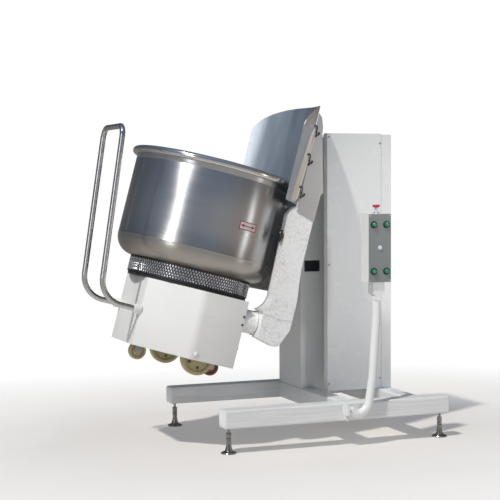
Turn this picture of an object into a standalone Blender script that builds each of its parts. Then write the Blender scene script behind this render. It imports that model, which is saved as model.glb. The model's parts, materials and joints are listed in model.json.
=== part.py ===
"""Bowl lifter and tipper for bakery dough, with the wheeled bowl of a spiral mixer docked on its fork.

Units are metres and +Z is up. Upright pieces are laid out in the base frame: X runs along the floor
beams from their front ends, Y across them, Z up from the floor. Tilted pieces are laid out in the bowl
frame, whose origin is the centre of the bowl's rim and whose z axis is the bowl's own axis.
"""

import math

import bmesh
import bpy
from mathutils import Matrix, Vector

GAP = 0.0003
FRAME_SHIFT = Vector((-0.3142, 0.039, 0.0))

# Floor frame of square tube on four levelling feet.
TUBE = 0.080
TUBE_WALL = 0.004
BEAM_LENGTH = 1.105
BEAM_TOP = 0.193
BEAM_SPACING = 0.744
FRONT_CROSS_X = 0.609
REAR_CROSS_X = 0.940
FOOT_INSET = 0.031
PAD_RADIUS = 0.0345
STUD_RADIUS = 0.006

# Column: a hollow body and a shallow cover with an open slot between them, and one rear cover.
COLUMN_BOTTOM = BEAM_TOP + GAP
COLUMN_TOP = 1.404
BODY_FRONT = 0.569
SHEET = 0.003
SLOT_NEAR = -0.033
SLOT_FAR = 0.076
BODY_FAR = 0.340
COVER_FRONT = 0.643
COVER_NEAR = -0.071
COVER_TOP = 1.408
REAR_SEAM = 0.926
COLUMN_REAR = 0.978
WINDOW = ((0.591, 0.752), (0.671, 0.805))

# Tilt drive.
PIVOT = Vector((0.700, 0.0, 1.340))
SHAFT_RADIUS = 0.025
LEVER_NEAR = -0.005
LEVER_FAR = 0.045
SCREW_X = 0.411
SCREW_Y = 0.020
SCREW_RADIUS = 0.006
SPROCKET_TEETH = 24
PINION_TEETH = 12
SPROCKET_RADIUS = 0.051
PINION_RADIUS = 0.0255
PINION_DROP = 0.440
CHAIN_NEAR = 0.201
CHAIN_FAR = 0.211

# Bowl frame.
RIM_CENTRE = Vector((0.1136, 0.0, 1.2536))
TILT = math.radians(15.0)
RIM_RADIUS = 0.384
BEAD = 0.016
WALL_RADIUS = 0.360
WALL = 0.003
BOWL_DEPTH = 0.484
BOWL_CORNER = 0.086
BOWL_SEAM = -0.300
RING_RADIUS = 0.280
RING_BOTTOM = -0.556
BAND_BOTTOM = -0.566
SPINDLE_RADIUS = 0.040

# Wheeled trolley under the bowl.
HOOD_TOP = -0.570
HOOD_BOTTOM = -0.872
HOOD_FRONT = -0.238
HOOD_FRONT_HALF = 0.166
HOOD_SIDE = 0.322
HOOD_BEND_X = -0.016
HOOD_REAR = 0.190
CHASSIS_TOP = -0.780
WHEEL_RADIUS = 0.075
WHEEL_WIDTH = 0.044
WHEEL_X = 0.050
WHEEL_Y = 0.226
WHEEL_BOTTOM = -0.940
CASTER_RADIUS = 0.040
CASTER_TRAIL = 0.018
FRONT_CASTER_X = -0.155
REAR_CASTER_X = 0.205
HANDLE_RADIUS = 0.0125
HANDLE_HALF = 0.156
HANDLE_Z = -0.715

# Fork, chute and carriage.
ARM_INNER = 0.268
ARM_OUTER = 0.345
TINE_RADIUS = 0.052
TINE_Y = 0.262
TINE_Z = -0.655
TINE_TIP = 0.100
PLATE_X = 0.386
PLATE_TOP = -0.096
PLATE_BOTTOM = -0.490
CHUTE_RADIUS = 0.400
CHUTE_BOTTOM = -0.090
CHUTE_HALF_ANGLE = 52.0

# Operator's control box on its bent post.
BOX_LOW = Vector((0.657, -0.475, 0.733))
BOX_HIGH = Vector((0.769, -0.405, 1.039))
BUTTON_RADIUS = 0.0105
BEZEL_RADIUS = 0.015
BUTTON_SPREAD = 0.031
BUTTON_ROWS = (0.990, 0.783)
LAMP_Z = 0.887
POST_RADIUS = 0.019

ROUND_STEPS = 48


# ---------------------------------------------------------------- scene and materials

def clear_scene():
    for obj in list(bpy.data.objects):
        bpy.data.objects.remove(obj, do_unlink=True)


def new_collection(name):
    collection = bpy.data.collections.new(name)
    bpy.context.scene.collection.children.link(collection)
    return collection


def material(name, colour, roughness, metallic=0.0):
    made = bpy.data.materials.new(name)
    made.use_nodes = True
    made.diffuse_color = (*colour, 1.0)
    shader = made.node_tree.nodes["Principled BSDF"]
    shader.inputs["Base Color"].default_value = (*colour, 1.0)
    shader.inputs["Roughness"].default_value = roughness
    shader.inputs["Metallic"].default_value = metallic
    return made


clear_scene()
PARTS = new_collection("bowl_tipper")
CUTTERS = new_collection("cutters")
WHITE = material("white_paint", (0.86, 0.87, 0.86), 0.45)
CREAM = material("cream_paint", (0.90, 0.89, 0.83), 0.5)
STAINLESS = material("brushed_stainless", (0.55, 0.56, 0.57), 0.3, 1.0)
POLISHED = material("polished_stainless", (0.66, 0.66, 0.66), 0.15, 1.0)
DARK_STEEL = material("dark_steel", (0.22, 0.22, 0.23), 0.45, 1.0)
MACHINED = material("machined_steel", (0.45, 0.45, 0.46), 0.35, 1.0)
BLACK = material("black_rubber", (0.03, 0.03, 0.03), 0.7)
OLIVE = material("cast_olive", (0.52, 0.49, 0.30), 0.55)
GREY_PAINT = material("grey_paint", (0.30, 0.32, 0.32), 0.5)
GREEN = material("green_plastic", (0.0, 0.36, 0.20), 0.3)
RED = material("red_plastic", (0.65, 0.02, 0.02), 0.3)
LAMP_WHITE = material("lamp_white", (0.85, 0.86, 0.88), 0.2)


# ---------------------------------------------------------------- shape helpers

def link(name, data, mat, parent, location=(0, 0, 0)):
    obj = bpy.data.objects.new(name, data)
    PARTS.objects.link(obj)
    obj.parent = parent
    obj.location = location
    if mat is not None:
        data.materials.append(mat)
    return obj


def empty(name, parent, location, tilt=0.0):
    obj = bpy.data.objects.new(name, None)
    PARTS.objects.link(obj)
    obj.parent = parent
    obj.location = location
    obj.rotation_euler = (0.0, tilt, 0.0)
    return obj


def smooth(mesh, angle=35.0):
    mesh.shade_smooth()
    mesh.set_sharp_from_angle(angle=math.radians(angle))


def mesh_from(bm, name):
    mesh = bpy.data.meshes.new(name)
    bmesh.ops.recalc_face_normals(bm, faces=bm.faces)
    bm.to_mesh(mesh)
    bm.free()
    smooth(mesh)
    return mesh


def box(name, low, high, mat, parent, bevel=0.0):
    low, high = Vector(low), Vector(high)
    bm = bmesh.new()
    bmesh.ops.create_cube(bm, size=1.0, matrix=Matrix.Diagonal((*(high - low), 1.0)))
    if bevel:
        bmesh.ops.bevel(bm, geom=bm.edges[:], offset=bevel, segments=2, affect="EDGES", profile=0.5)
    return link(name, mesh_from(bm, name), mat, parent, (low + high) / 2)


def rod(name, start, end, radius, mat, parent, steps=ROUND_STEPS, tip_radius=None):
    """A cylinder, or a cone frustum, from start to end."""
    start, end = Vector(start), Vector(end)
    turn = (end - start).to_track_quat("Z", "Y").to_matrix().to_4x4()
    bm = bmesh.new()
    bmesh.ops.create_cone(
        bm, cap_ends=True, segments=steps, radius1=radius, depth=(end - start).length,
        radius2=radius if tip_radius is None else tip_radius, matrix=turn)
    return link(name, mesh_from(bm, name), mat, parent, (start + end) / 2)


def turned(name, profile, mat, parent, location=(0, 0, 0), steps=ROUND_STEPS, axis="Z"):
    """A solid of revolution about the given axis from (radius, height) points, outer side going down."""
    bm = bmesh.new()
    verts = [bm.verts.new((radius, 0.0, height)) for radius, height in profile]
    for a, b in zip(verts, verts[1:]):
        bm.edges.new((a, b))
    if profile[0][0] > 0.0:
        bm.edges.new((verts[-1], verts[0]))
    mesh = bpy.data.meshes.new(name)
    bm.to_mesh(mesh)
    bm.free()
    obj = link(name, mesh, mat, parent, location)
    screw = obj.modifiers.new("turn", "SCREW")
    screw.steps = steps
    screw.render_steps = steps
    screw.use_merge_vertices = True
    screw.merge_threshold = 0.00005
    screw.use_smooth_shade = True
    if axis == "Y":
        obj.rotation_euler = (math.radians(-90.0), 0.0, 0.0)
    bake(obj)
    return obj


def bake(obj):
    """Replaces the object's data with its evaluated mesh, with doubled points made one."""
    bpy.context.view_layer.update()
    evaluated = obj.evaluated_get(bpy.context.evaluated_depsgraph_get())
    mesh = bpy.data.meshes.new_from_object(evaluated)
    bm = bmesh.new()
    bm.from_mesh(mesh)
    bmesh.ops.remove_doubles(bm, verts=bm.verts, dist=0.00002)
    bmesh.ops.recalc_face_normals(bm, faces=bm.faces)
    bm.to_mesh(mesh)
    bm.free()
    smooth(mesh)
    obj.modifiers.clear()
    if obj.type == "MESH":
        obj.data = mesh
        return obj
    solid = link(obj.name + "_solid", mesh, None, obj.parent, obj.location)
    solid.rotation_euler = obj.rotation_euler
    name = obj.name
    bpy.data.objects.remove(obj, do_unlink=True)
    solid.name = name
    return solid


def curve_object(name, kind, splines, cyclic, mat, parent):
    curve = bpy.data.curves.new(name, "CURVE")
    curve.dimensions = kind
    for points in splines:
        spline = curve.splines.new("POLY")
        spline.points.add(len(points) - 1)
        spline.use_cyclic_u = cyclic
        for point, place in zip(spline.points, points):
            point.co = (*place, 1.0) if len(place) == 3 else (*place, 0.0, 1.0)
    return link(name, curve, mat, parent)


def plate(name, outline, normal, low, high, mat, parent, holes=()):
    """A flat outline made solid between two planes: (x, y) points for Z, (x, z) for Y, (y, z) for X."""
    obj = curve_object(name, "2D", [outline, *holes], True, mat, parent)
    obj.data.fill_mode = "BOTH"
    obj.data.extrude = (high - low) / 2
    middle = (low + high) / 2
    if normal == "Z":
        obj.location = (0.0, 0.0, middle)
    elif normal == "Y":
        obj.location = (0.0, middle, 0.0)
        obj.rotation_euler = (math.radians(90.0), 0.0, 0.0)
    else:
        obj.location = (middle, 0.0, 0.0)
        obj.rotation_euler = (math.radians(90.0), 0.0, math.radians(90.0))
    return bake(obj)


def pipe(name, points, radius, mat, parent, sides=12):
    obj = curve_object(name, "3D", [points], False, mat, parent)
    obj.data.bevel_depth = radius
    obj.data.bevel_resolution = sides // 2 - 2
    obj.data.use_fill_caps = True
    return bake(obj)


def arc(centre, radius, start, end, steps):
    """Points of a plane arc, angles in degrees."""
    angles = [math.radians(start + (end - start) * i / steps) for i in range(steps + 1)]
    return [(centre[0] + radius * math.cos(a), centre[1] + radius * math.sin(a)) for a in angles]


def rounded(points, radii, closed=True, steps=4):
    """The same path with an arc of the given radius at each corner, in two or three dimensions."""
    points = [Vector(p).to_3d() if len(p) == 2 else Vector(p) for p in points]
    flat = all(p.z == 0.0 for p in points)
    count = len(points)
    out = []
    for i, corner in enumerate(points):
        radius = radii[i] if isinstance(radii, (list, tuple)) else radii
        if radius == 0.0 or (not closed and i in (0, count - 1)):
            out.append(corner)
            continue
        to_last = (points[i - 1] - corner).normalized()
        to_next = (points[(i + 1) % count] - corner).normalized()
        half = to_last.angle(to_next) / 2
        centre = corner + (to_last + to_next).normalized() * radius / math.sin(half)
        first = (corner + to_last * radius / math.tan(half) - centre).normalized()
        last = (corner + to_next * radius / math.tan(half) - centre).normalized()
        out += [centre + first.slerp(last, k / steps) * radius for k in range(steps + 1)]
    return [tuple(p)[:2] if flat else tuple(p) for p in out]


def rectangle(low, high):
    return [(low[0], low[1]), (high[0], low[1]), (high[0], high[1]), (low[0], high[1])]


def fuse(target, *pieces):
    """Welds the pieces into the target and leaves one solid."""
    for piece in pieces:
        union = target.modifiers.new("weld", "BOOLEAN")
        union.operation = "UNION"
        union.object = piece
        bake(target)
        bpy.data.objects.remove(piece, do_unlink=True)
    return target


def cut(target, *cutters):
    """Cuts the cutters out of the target; the cutters stay as wire guides."""
    for cutter in cutters:
        cutter.display_type = "WIRE"
        cutter.hide_render = True
        PARTS.objects.unlink(cutter)
        CUTTERS.objects.link(cutter)
        difference = target.modifiers.new("cut", "BOOLEAN")
        difference.operation = "DIFFERENCE"
        difference.object = cutter
    return target


# ---------------------------------------------------------------- floor frame

def floor_beam(name, y, parent):
    half = TUBE / 2
    low = Vector((0.0, y - half, BEAM_TOP - TUBE))
    high = Vector((BEAM_LENGTH, y + half, BEAM_TOP))
    wall = Vector((TUBE_WALL, TUBE_WALL, TUBE_WALL))
    beam = box(name, low, high, WHITE, parent, bevel=0.006)
    cut(beam, box(name + "_bore", low + wall, high - wall, None, parent))
    for x in (FOOT_INSET, BEAM_LENGTH - FOOT_INSET):
        bottom = low.z
        cut(beam, rod(f"{name}_stud_hole_{x:.1f}", (x, y, bottom - TUBE_WALL),
                      (x, y, bottom + 2 * TUBE_WALL), STUD_RADIUS + GAP, None, parent, 12))


def cross_beam(name, x, parent):
    half = TUBE / 2
    reach = BEAM_SPACING / 2 - half - GAP
    centre = BEAM_TOP - half
    outer = rounded(rectangle((x - half, centre - half), (x + half, centre + half)), 0.006, steps=2)
    inner = half - TUBE_WALL
    hole = rectangle((x - inner, centre - inner), (x + inner, centre + inner))
    plate(name, outer, "Y", -reach, reach, WHITE, parent, holes=[hole])


def foot_mesh(parent):
    """Pad, cone boss, lock nut and nut on one stud, about the stud's own axis."""
    profile = [(0.0, 0.150), (STUD_RADIUS, 0.150), (STUD_RADIUS, 0.056), (0.010, 0.055),
               (0.016, 0.014), (0.030, 0.012), (PAD_RADIUS, 0.009), (PAD_RADIUS, 0.002),
               (0.033, 0.0), (0.0, 0.0)]
    foot = turned("foot_pattern", profile, DARK_STEEL, parent, steps=16)
    for low, high in ((0.058, 0.068), (0.069, 0.092)):
        fuse(foot, rod("nut", (0, 0, low), (0, 0, high), 0.0125, DARK_STEEL, parent, 6))
    mesh = foot.data
    bpy.data.objects.remove(foot, do_unlink=True)
    return mesh


def floor_frame(parent):
    y = BEAM_SPACING / 2
    floor_beam("near_beam", -y, parent)
    floor_beam("far_beam", y, parent)
    cross_beam("front_cross_beam", FRONT_CROSS_X, parent)
    cross_beam("rear_cross_beam", REAR_CROSS_X, parent)
    mesh = foot_mesh(parent)
    for side, y_foot in (("near", -y), ("far", y)):
        for end, x in (("front", FOOT_INSET), ("rear", BEAM_LENGTH - FOOT_INSET)):
            link(f"foot_{side}_{end}", mesh, None, parent, (x, y_foot, 0.0))


# ---------------------------------------------------------------- column

def shell(name, low, high, mat, parent, opening):
    """A folded sheet box with one side left open; opening names that side, such as +X."""
    low, high = Vector(low), Vector(high)
    inner_low = low + Vector((SHEET, SHEET, SHEET))
    inner_high = high - Vector((SHEET, SHEET, SHEET))
    index = "XYZ".index(opening[1])
    if opening[0] == "+":
        inner_high[index] = high[index] + SHEET
    else:
        inner_low[index] = low[index] - SHEET
    body = box(name, low, high, mat, parent)
    return cut(body, box(name + "_inside", inner_low, inner_high, None, parent))


def column(parent):
    body = shell("column_body", (BODY_FRONT, SLOT_FAR, COLUMN_BOTTOM),
                 (REAR_SEAM, BODY_FAR, COLUMN_TOP), WHITE, parent, "+X")
    (x0, z0), (x1, z1) = WINDOW
    cut(body,
        rod("shaft_hole", (PIVOT.x, SLOT_FAR - SHEET, PIVOT.z),
            (PIVOT.x, SLOT_FAR + 2 * SHEET, PIVOT.z), SHAFT_RADIUS + 0.004, None, parent, 24),
        box("window_hole", (x0, SLOT_FAR - SHEET, z0), (x1, SLOT_FAR + 2 * SHEET, z1), None, parent))
    box("service_window", (x0 - 0.006, SLOT_FAR + SHEET + GAP, z0 - 0.006),
        (x1 + 0.006, SLOT_FAR + SHEET + 0.003, z1 + 0.006), BLACK, parent)
    shell("near_cover", (COVER_FRONT, COVER_NEAR, COLUMN_BOTTOM),
          (REAR_SEAM - GAP, SLOT_NEAR, COVER_TOP), WHITE, parent, "+Y")
    frame_plate = box("near_frame", (COVER_FRONT + SHEET + GAP, SLOT_NEAR - 0.007, COLUMN_BOTTOM + SHEET + GAP),
                      (REAR_SEAM - SHEET - 2 * GAP, SLOT_NEAR - GAP, COVER_TOP - SHEET - GAP), WHITE, parent)
    cut(frame_plate, rod("near_shaft_hole", (PIVOT.x, SLOT_NEAR - 0.02, PIVOT.z),
                         (PIVOT.x, SLOT_NEAR + 0.02, PIVOT.z), SHAFT_RADIUS + 0.004, None, parent, 24))
    shell("rear_cover", (REAR_SEAM + GAP, COVER_NEAR, COLUMN_BOTTOM),
          (COLUMN_REAR, BODY_FAR, COVER_TOP - 0.004), WHITE, parent, "-X")


def bearing(name, near, far, parent):
    bore = SHAFT_RADIUS + 2 * GAP
    profile = [(bore, far), (0.034, far), (0.036, far - 0.008), (0.052, far - 0.010), (0.052, near), (bore, near)]
    turned(name, profile, MACHINED, parent, (PIVOT.x, 0.0, PIVOT.z), 24, axis="Y")


def toothed_wheel(name, teeth, tip, near, far, bore, parent, location):
    """A sprocket as an outline with one flat-topped tooth per pitch."""
    root = tip * 0.86
    outline = []
    for tooth in range(teeth):
        for share, radius in ((0.10, root), (0.32, tip), (0.68, tip), (0.90, root)):
            angle = math.tau * (tooth + share) / teeth
            outline.append((radius * math.cos(angle), radius * math.sin(angle)))
    holes = [arc((0.0, 0.0), bore, 0.0, 345.0, 23)] if bore else []
    wheel = plate(name, outline, "Y", near, far, MACHINED, parent, holes=holes)
    wheel.location.x = location[0]
    wheel.location.z = location[1]
    return wheel


def chain_outline(radius_top, radius_low, drop):
    """A belt outline round two wheels, the lower one straight below the upper."""
    lean = math.degrees(math.asin((radius_top - radius_low) / drop))
    return (arc((0.0, 0.0), radius_top, -lean, 180.0 + lean, 16)
            + arc((0.0, -drop), radius_low, 180.0 + lean, 360.0 - lean, 12))


def tilt_drive(parent, pinion_axis):
    bearing("near_bearing", COVER_NEAR + SHEET + 0.004, SLOT_NEAR - 0.0073, parent)
    bearing("far_bearing", BODY_FAR - SHEET - 0.030, BODY_FAR - SHEET - GAP, parent)
    z = PIVOT.z - PINION_DROP
    motor = box("tilt_gearmotor", (PIVOT.x - 0.060, SLOT_FAR + 0.008, z - 0.070),
                (PIVOT.x + 0.060, 0.190, z + 0.070), DARK_STEEL, parent, bevel=0.008)
    fuse(motor, rod("motor_barrel", (PIVOT.x, 0.136, z - 0.300), (PIVOT.x, 0.136, z - 0.060),
                    0.050, DARK_STEEL, parent, 24))
    slack = 0.0015
    link_height = 0.004
    outer = chain_outline(SPROCKET_RADIUS + slack + link_height, PINION_RADIUS + slack + link_height, PINION_DROP)
    inner = chain_outline(SPROCKET_RADIUS + slack, PINION_RADIUS + slack, PINION_DROP)
    chain = plate("drive_chain", outer, "Y", CHAIN_NEAR, CHAIN_FAR, DARK_STEEL, parent, holes=[inner])
    chain.location.x = PIVOT.x
    chain.location.z = PIVOT.z
    pinion = toothed_wheel("motor_pinion", PINION_TEETH, PINION_RADIUS, CHAIN_NEAR, CHAIN_FAR, 0.0,
                           pinion_axis, (0.0, 0.0))
    fuse(pinion, rod("pinion_shaft", (0, 0.190 + GAP, 0), (0, CHAIN_NEAR + 0.004, 0), 0.012, MACHINED,
                     pinion_axis, 16))


# ---------------------------------------------------------------- control box

def control_station(parent):
    low, high = BOX_LOW, BOX_HIGH
    middle = (low + high) / 2
    case = shell("control_box", low, high, WHITE, parent, "-Y")
    bracket = rounded([(middle.x - 0.028, low.z + 0.001), (middle.x - 0.028, low.z - 0.050),
                       (middle.x - 0.010, low.z - 0.064), (middle.x + 0.010, low.z - 0.064),
                       (middle.x + 0.028, low.z - 0.050), (middle.x + 0.028, low.z + 0.001)], 0.0)
    case.modifiers.clear()
    fuse(case, plate("bracket", bracket, "Y", middle.y - 0.026, middle.y + 0.026, WHITE, parent))
    inner_low = low + Vector((SHEET, -SHEET, SHEET))
    inner_high = high - Vector((SHEET, SHEET, SHEET))
    cut(case,
        box("case_inside", inner_low, inner_high, None, parent),
        rod("post_socket", (middle.x, middle.y, low.z - 0.080), (middle.x, middle.y, low.z - 0.020),
            POST_RADIUS + GAP, None, parent, 24),
        rod("estop_hole", (middle.x, middle.y, high.z - 0.01), (middle.x, middle.y, high.z + 0.01),
            0.0085, None, parent, 16))
    bpy.data.objects.remove(bpy.data.objects["control_box_inside"], do_unlink=True)
    control_panel(parent, middle)
    station_post(parent, middle, low.z)


def control_panel(parent, middle):
    """The grey face plate with a raised dark ring round each button and round the lamp."""
    face = BOX_LOW.y - GAP
    front = face - 0.0027
    edge = 0.002
    panel = box("control_panel", (BOX_LOW.x + edge, front, BOX_LOW.z + edge),
                (BOX_HIGH.x - edge, face, BOX_HIGH.z - edge), GREY_PAINT, parent)
    places = [(middle.x + side * BUTTON_SPREAD, z) for z in BUTTON_ROWS for side in (-1, 1)]
    for x, z in places:
        fuse(panel, rod("bezel", (x, front - 0.005, z), (x, front + 0.001, z), BEZEL_RADIUS,
                        GREY_PAINT, parent, 16))
    for index, (x, z) in enumerate(places):
        cut(panel, rod(f"button_hole_{index}", (x, front - 0.02, z), (x, front + 0.02, z),
                       BUTTON_RADIUS + 0.0005, None, parent, 16))
    cut(panel, rod("lamp_hole", (middle.x, front - 0.02, LAMP_Z), (middle.x, front + 0.02, LAMP_Z),
                   BUTTON_RADIUS + GAP, None, parent, 16))
    for name, (x, z) in zip(("button_raise", "button_lower", "button_tilt", "button_return"), places):
        profile = [(0.0, 0.012), (0.006, 0.0117), (0.0095, 0.010), (BUTTON_RADIUS, 0.008),
                   (BUTTON_RADIUS, -0.006), (0.004, -0.007), (0.004, -0.020), (0.0, -0.020)]
        button = turned(name, profile, GREEN, parent, (x, front, z), 14)
        button.rotation_euler = (math.radians(90.0), 0.0, 0.0)
    profile = [(0.0, 0.006), (0.007, 0.005), (BUTTON_RADIUS, 0.002), (BUTTON_RADIUS, -0.008), (0.0, -0.008)]
    lamp = turned("indicator_lamp", profile, LAMP_WHITE, parent, (middle.x, front, LAMP_Z), 14)
    lamp.rotation_euler = (math.radians(90.0), 0.0, 0.0)
    top = BOX_HIGH.z
    profile = [(0.0, 0.040), (0.014, 0.038), (0.020, 0.032), (0.020, 0.026), (0.009, 0.018),
               (0.008, 0.010), (0.008, -0.012), (0.0, -0.012)]
    turned("emergency_stop", profile, RED, parent, (middle.x, middle.y, top), 16)


def station_post(parent, middle, box_bottom):
    """A bent tube clamped to the near beam's outer face and rising to the box."""
    y = middle.y
    path = [(0.585, y, 0.166), (0.622, y, 0.140), (0.672, y, 0.170), (0.694, y, 0.300),
            (middle.x, y, 0.580), (middle.x, y, box_bottom - 0.021)]
    pipe("control_post", rounded(path, [0, 0.030, 0.060, 0.200, 0.300, 0], closed=False, steps=4),
         POST_RADIUS, WHITE, parent, sides=12)
    beam_face = -BEAM_SPACING / 2 - TUBE / 2
    clamp = box("post_clamp", (0.560, beam_face - 0.006, 0.116), (0.640, beam_face - GAP, 0.190), WHITE, parent)
    fuse(clamp, box("clamp_lug", (0.561, y - 0.024, 0.142), (0.573, beam_face - 0.003, 0.188), WHITE, parent))


# ---------------------------------------------------------------- tilting lever

def tilt_lever(axis, frame):
    """The lever swings in the column's slot: a hub on the shaft and a straight mast below it."""
    pivot = bowl_point(PIVOT)
    hub = 0.055
    mast = [(0.420, -0.488), (0.478, -0.488), (0.478, 0.060), (pivot.x + 0.035, pivot.z - 0.040),
            (pivot.x + 0.030, pivot.z + 0.040), (pivot.x - 0.040, pivot.z + 0.030), (0.420, 0.110)]
    lever = plate("tilt_lever", rounded(mast, [0.004, 0.004, 0.08, 0.0, 0.0, 0.0, 0.08]), "Y",
                  LEVER_NEAR, LEVER_FAR, WHITE, frame)
    fuse(lever, rod("hub", (pivot.x, LEVER_NEAR - 0.012, pivot.z), (pivot.x, LEVER_FAR + 0.012, pivot.z),
                    hub, WHITE, frame, 32))
    cut(lever, rod("hub_bore", (pivot.x, -0.1, pivot.z), (pivot.x, 0.1, pivot.z),
                   SHAFT_RADIUS + GAP, None, frame, 32))
    rod("tilt_shaft", (0, COVER_NEAR + 0.010, 0), (0, BODY_FAR - SHEET - 0.002, 0), SHAFT_RADIUS, MACHINED,
        axis, 32)
    toothed_wheel("tilt_sprocket", SPROCKET_TEETH, SPROCKET_RADIUS, CHAIN_NEAR, CHAIN_FAR,
                  SHAFT_RADIUS + GAP, axis, (0.0, 0.0))
    screw = rod("lift_screw", (SCREW_X, SCREW_Y, -0.486), (SCREW_X, SCREW_Y, -0.094), SCREW_RADIUS, MACHINED,
                frame, 16)
    fuse(screw, box("screw_bearing", (SCREW_X - 0.007, LEVER_NEAR, -0.114), (0.420 - GAP, LEVER_FAR, -0.094),
                    MACHINED, frame))


def bowl_point(point):
    """A base frame point in the bowl frame."""
    return Matrix.Rotation(-TILT, 3, "Y") @ (point - RIM_CENTRE)


# ---------------------------------------------------------------- fork, carriage and chute

ARM_OUTLINE = ([(0.300, -0.110), (0.388, -0.110), (0.387, -0.385), (0.403, -0.510), (0.403, -0.600),
                (0.402, -0.652), (0.366, -0.730), (0.350, -0.737), (0.262, -0.716), (0.258, -0.600)],
               [0.0, 0.0, 0.2, 0.2, 0.0, 0.03, 0.01, 0.01, 0.006, 0.012])


def fork_arm(side, sign, frame):
    points, radii = ARM_OUTLINE
    left = arc((0.205, -0.520), 0.081, -75.0, -2.0, 6)[1:] + [(0.284, -0.400), (0.276, -0.151)]
    outline = rounded(points, radii, steps=3)
    y = sorted((sign * ARM_INNER, sign * ARM_OUTER))
    arm = plate(f"{side}_arm", outline + left, "Y", y[0], y[1], WHITE, frame)
    tine = [(0.0, 0.258 - GAP), (TINE_RADIUS, 0.258 - GAP), (TINE_RADIUS, TINE_TIP + 0.02),
            (TINE_RADIUS * 0.8, TINE_TIP), (0.0, TINE_TIP)]
    made = turned(f"{side}_tine", tine, WHITE, frame, (0.0, sign * TINE_Y, TINE_Z), 28)
    made.rotation_euler = (0.0, math.radians(90.0), 0.0)
    return arm


def guard(side, sign, frame):
    """Stainless guard on the arm's outer face, with the strip and hooks that carry the chute's edge."""
    outline = [(0.300, -0.132), (0.389, -0.156), (0.393, -0.027), (0.403, -0.025), (0.330, 0.232),
               (0.326, 0.262), (0.310, 0.303), (0.292, 0.318)]
    y = sorted((sign * (ARM_OUTER + GAP), sign * (ARM_OUTER + SHEET)))
    made = plate(f"{side}_guard", outline, "Y", y[0], y[1], STAINLESS, frame)
    angle = math.radians(CHUTE_HALF_ANGLE)
    radius = CHUTE_RADIUS + 0.001
    edge_x = radius * math.cos(angle) + 0.002
    edge_y = radius * math.sin(angle) + 0.003
    strip = [(edge_x, sign * edge_y), (0.304, sign * (ARM_OUTER + 0.0008)),
             (0.304, sign * (ARM_OUTER + SHEET - 0.0002)), (edge_x, sign * (edge_y + 0.0025))]
    fuse(made, plate("strip", strip, "Z", -0.088, 0.250, STAINLESS, frame))
    for z in (-0.045, 0.105, 0.235):
        hook = [(0.288, z + 0.022), (0.296, z + 0.022), (0.306, z - 0.010), (0.314, z - 0.018),
                (0.306, z - 0.022), (0.296, z - 0.010)]
        low, high = sorted((sign * (ARM_OUTER + 0.001), sign * (ARM_OUTER + 0.009)))
        fuse(made, plate("hook", hook, "Y", low, high, BLACK, frame))


def chute(frame):
    """A concave sheet round the back of the bowl's rim, rising to a crown behind it."""
    half = math.radians(CHUTE_HALF_ANGLE)
    columns = 24
    rows = 6
    bm = bmesh.new()
    grid = []
    for i in range(columns + 1):
        share = 2.0 * i / columns - 1.0
        angle = share * half
        crown = 0.250 + 0.145 * (1.0 - abs(share) ** 2.6) ** 0.62
        grid.append([bm.verts.new((CHUTE_RADIUS * math.cos(angle), CHUTE_RADIUS * math.sin(angle),
                                   CHUTE_BOTTOM + (crown - CHUTE_BOTTOM) * j / rows)) for j in range(rows + 1)])
    for a, b in zip(grid, grid[1:]):
        for j in range(rows):
            bm.faces.new((a[j], b[j], b[j + 1], a[j + 1]))
    mesh = bpy.data.meshes.new("chute")
    bm.to_mesh(mesh)
    bm.free()
    smooth(mesh)
    obj = link("chute", mesh, STAINLESS, frame)
    thick = obj.modifiers.new("sheet", "SOLIDIFY")
    thick.thickness = 0.002
    thick.offset = 1.0
    thick.use_even_offset = True


def carriage(frame):
    """The plate between the arms, its bottom lip, the guides that run on the mast and the lift nut."""
    inner = ARM_INNER - GAP
    back = box("back_plate", (PLATE_X, -inner, PLATE_BOTTOM), (PLATE_X + 0.004, inner, PLATE_TOP), WHITE, frame)
    fuse(back, box("lip", (PLATE_X - 0.016, -inner, PLATE_BOTTOM - 0.006),
                   (PLATE_X + 0.004, inner, PLATE_BOTTOM + 0.004), WHITE, frame))
    for low, high in ((-0.021, LEVER_NEAR - 0.0005), (LEVER_FAR + 0.0005, 0.061)):
        fuse(back, box("guide", (PLATE_X + 0.002, low, -0.310), (0.476, high, -0.110), WHITE, frame))
    nut = box("nut", (PLATE_X + 0.002, SCREW_Y - 0.016, -0.240), (0.4195, SCREW_Y + 0.016, -0.205), MACHINED, frame)
    fuse(back, nut)
    cut(back, rod("nut_bore", (SCREW_X, SCREW_Y, -0.300), (SCREW_X, SCREW_Y, -0.150), SCREW_RADIUS + 0.0005, None,
                  frame, 16))


def latch(axis, frame, arm):
    """A sprung hook on a brass pin on the near arm's inner side."""
    fuse(arm, rod("latch_pin", (0.262, -0.305, -0.236), (0.290, -0.305, -0.236), 0.005, MACHINED, frame, 12))
    hook = rounded([(-0.009, 0.012), (-0.009, -0.018), (-0.014, -0.034), (0.004, -0.040), (0.012, -0.030),
                    (0.002, -0.024), (0.009, -0.008), (0.009, 0.012)], 0.002, steps=2)
    plate("latch", hook, "X", -0.004, 0.004, BLACK, axis, holes=[arc((0, 0), 0.0055, 0.0, 330.0, 11)])


# ---------------------------------------------------------------- bowl

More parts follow.
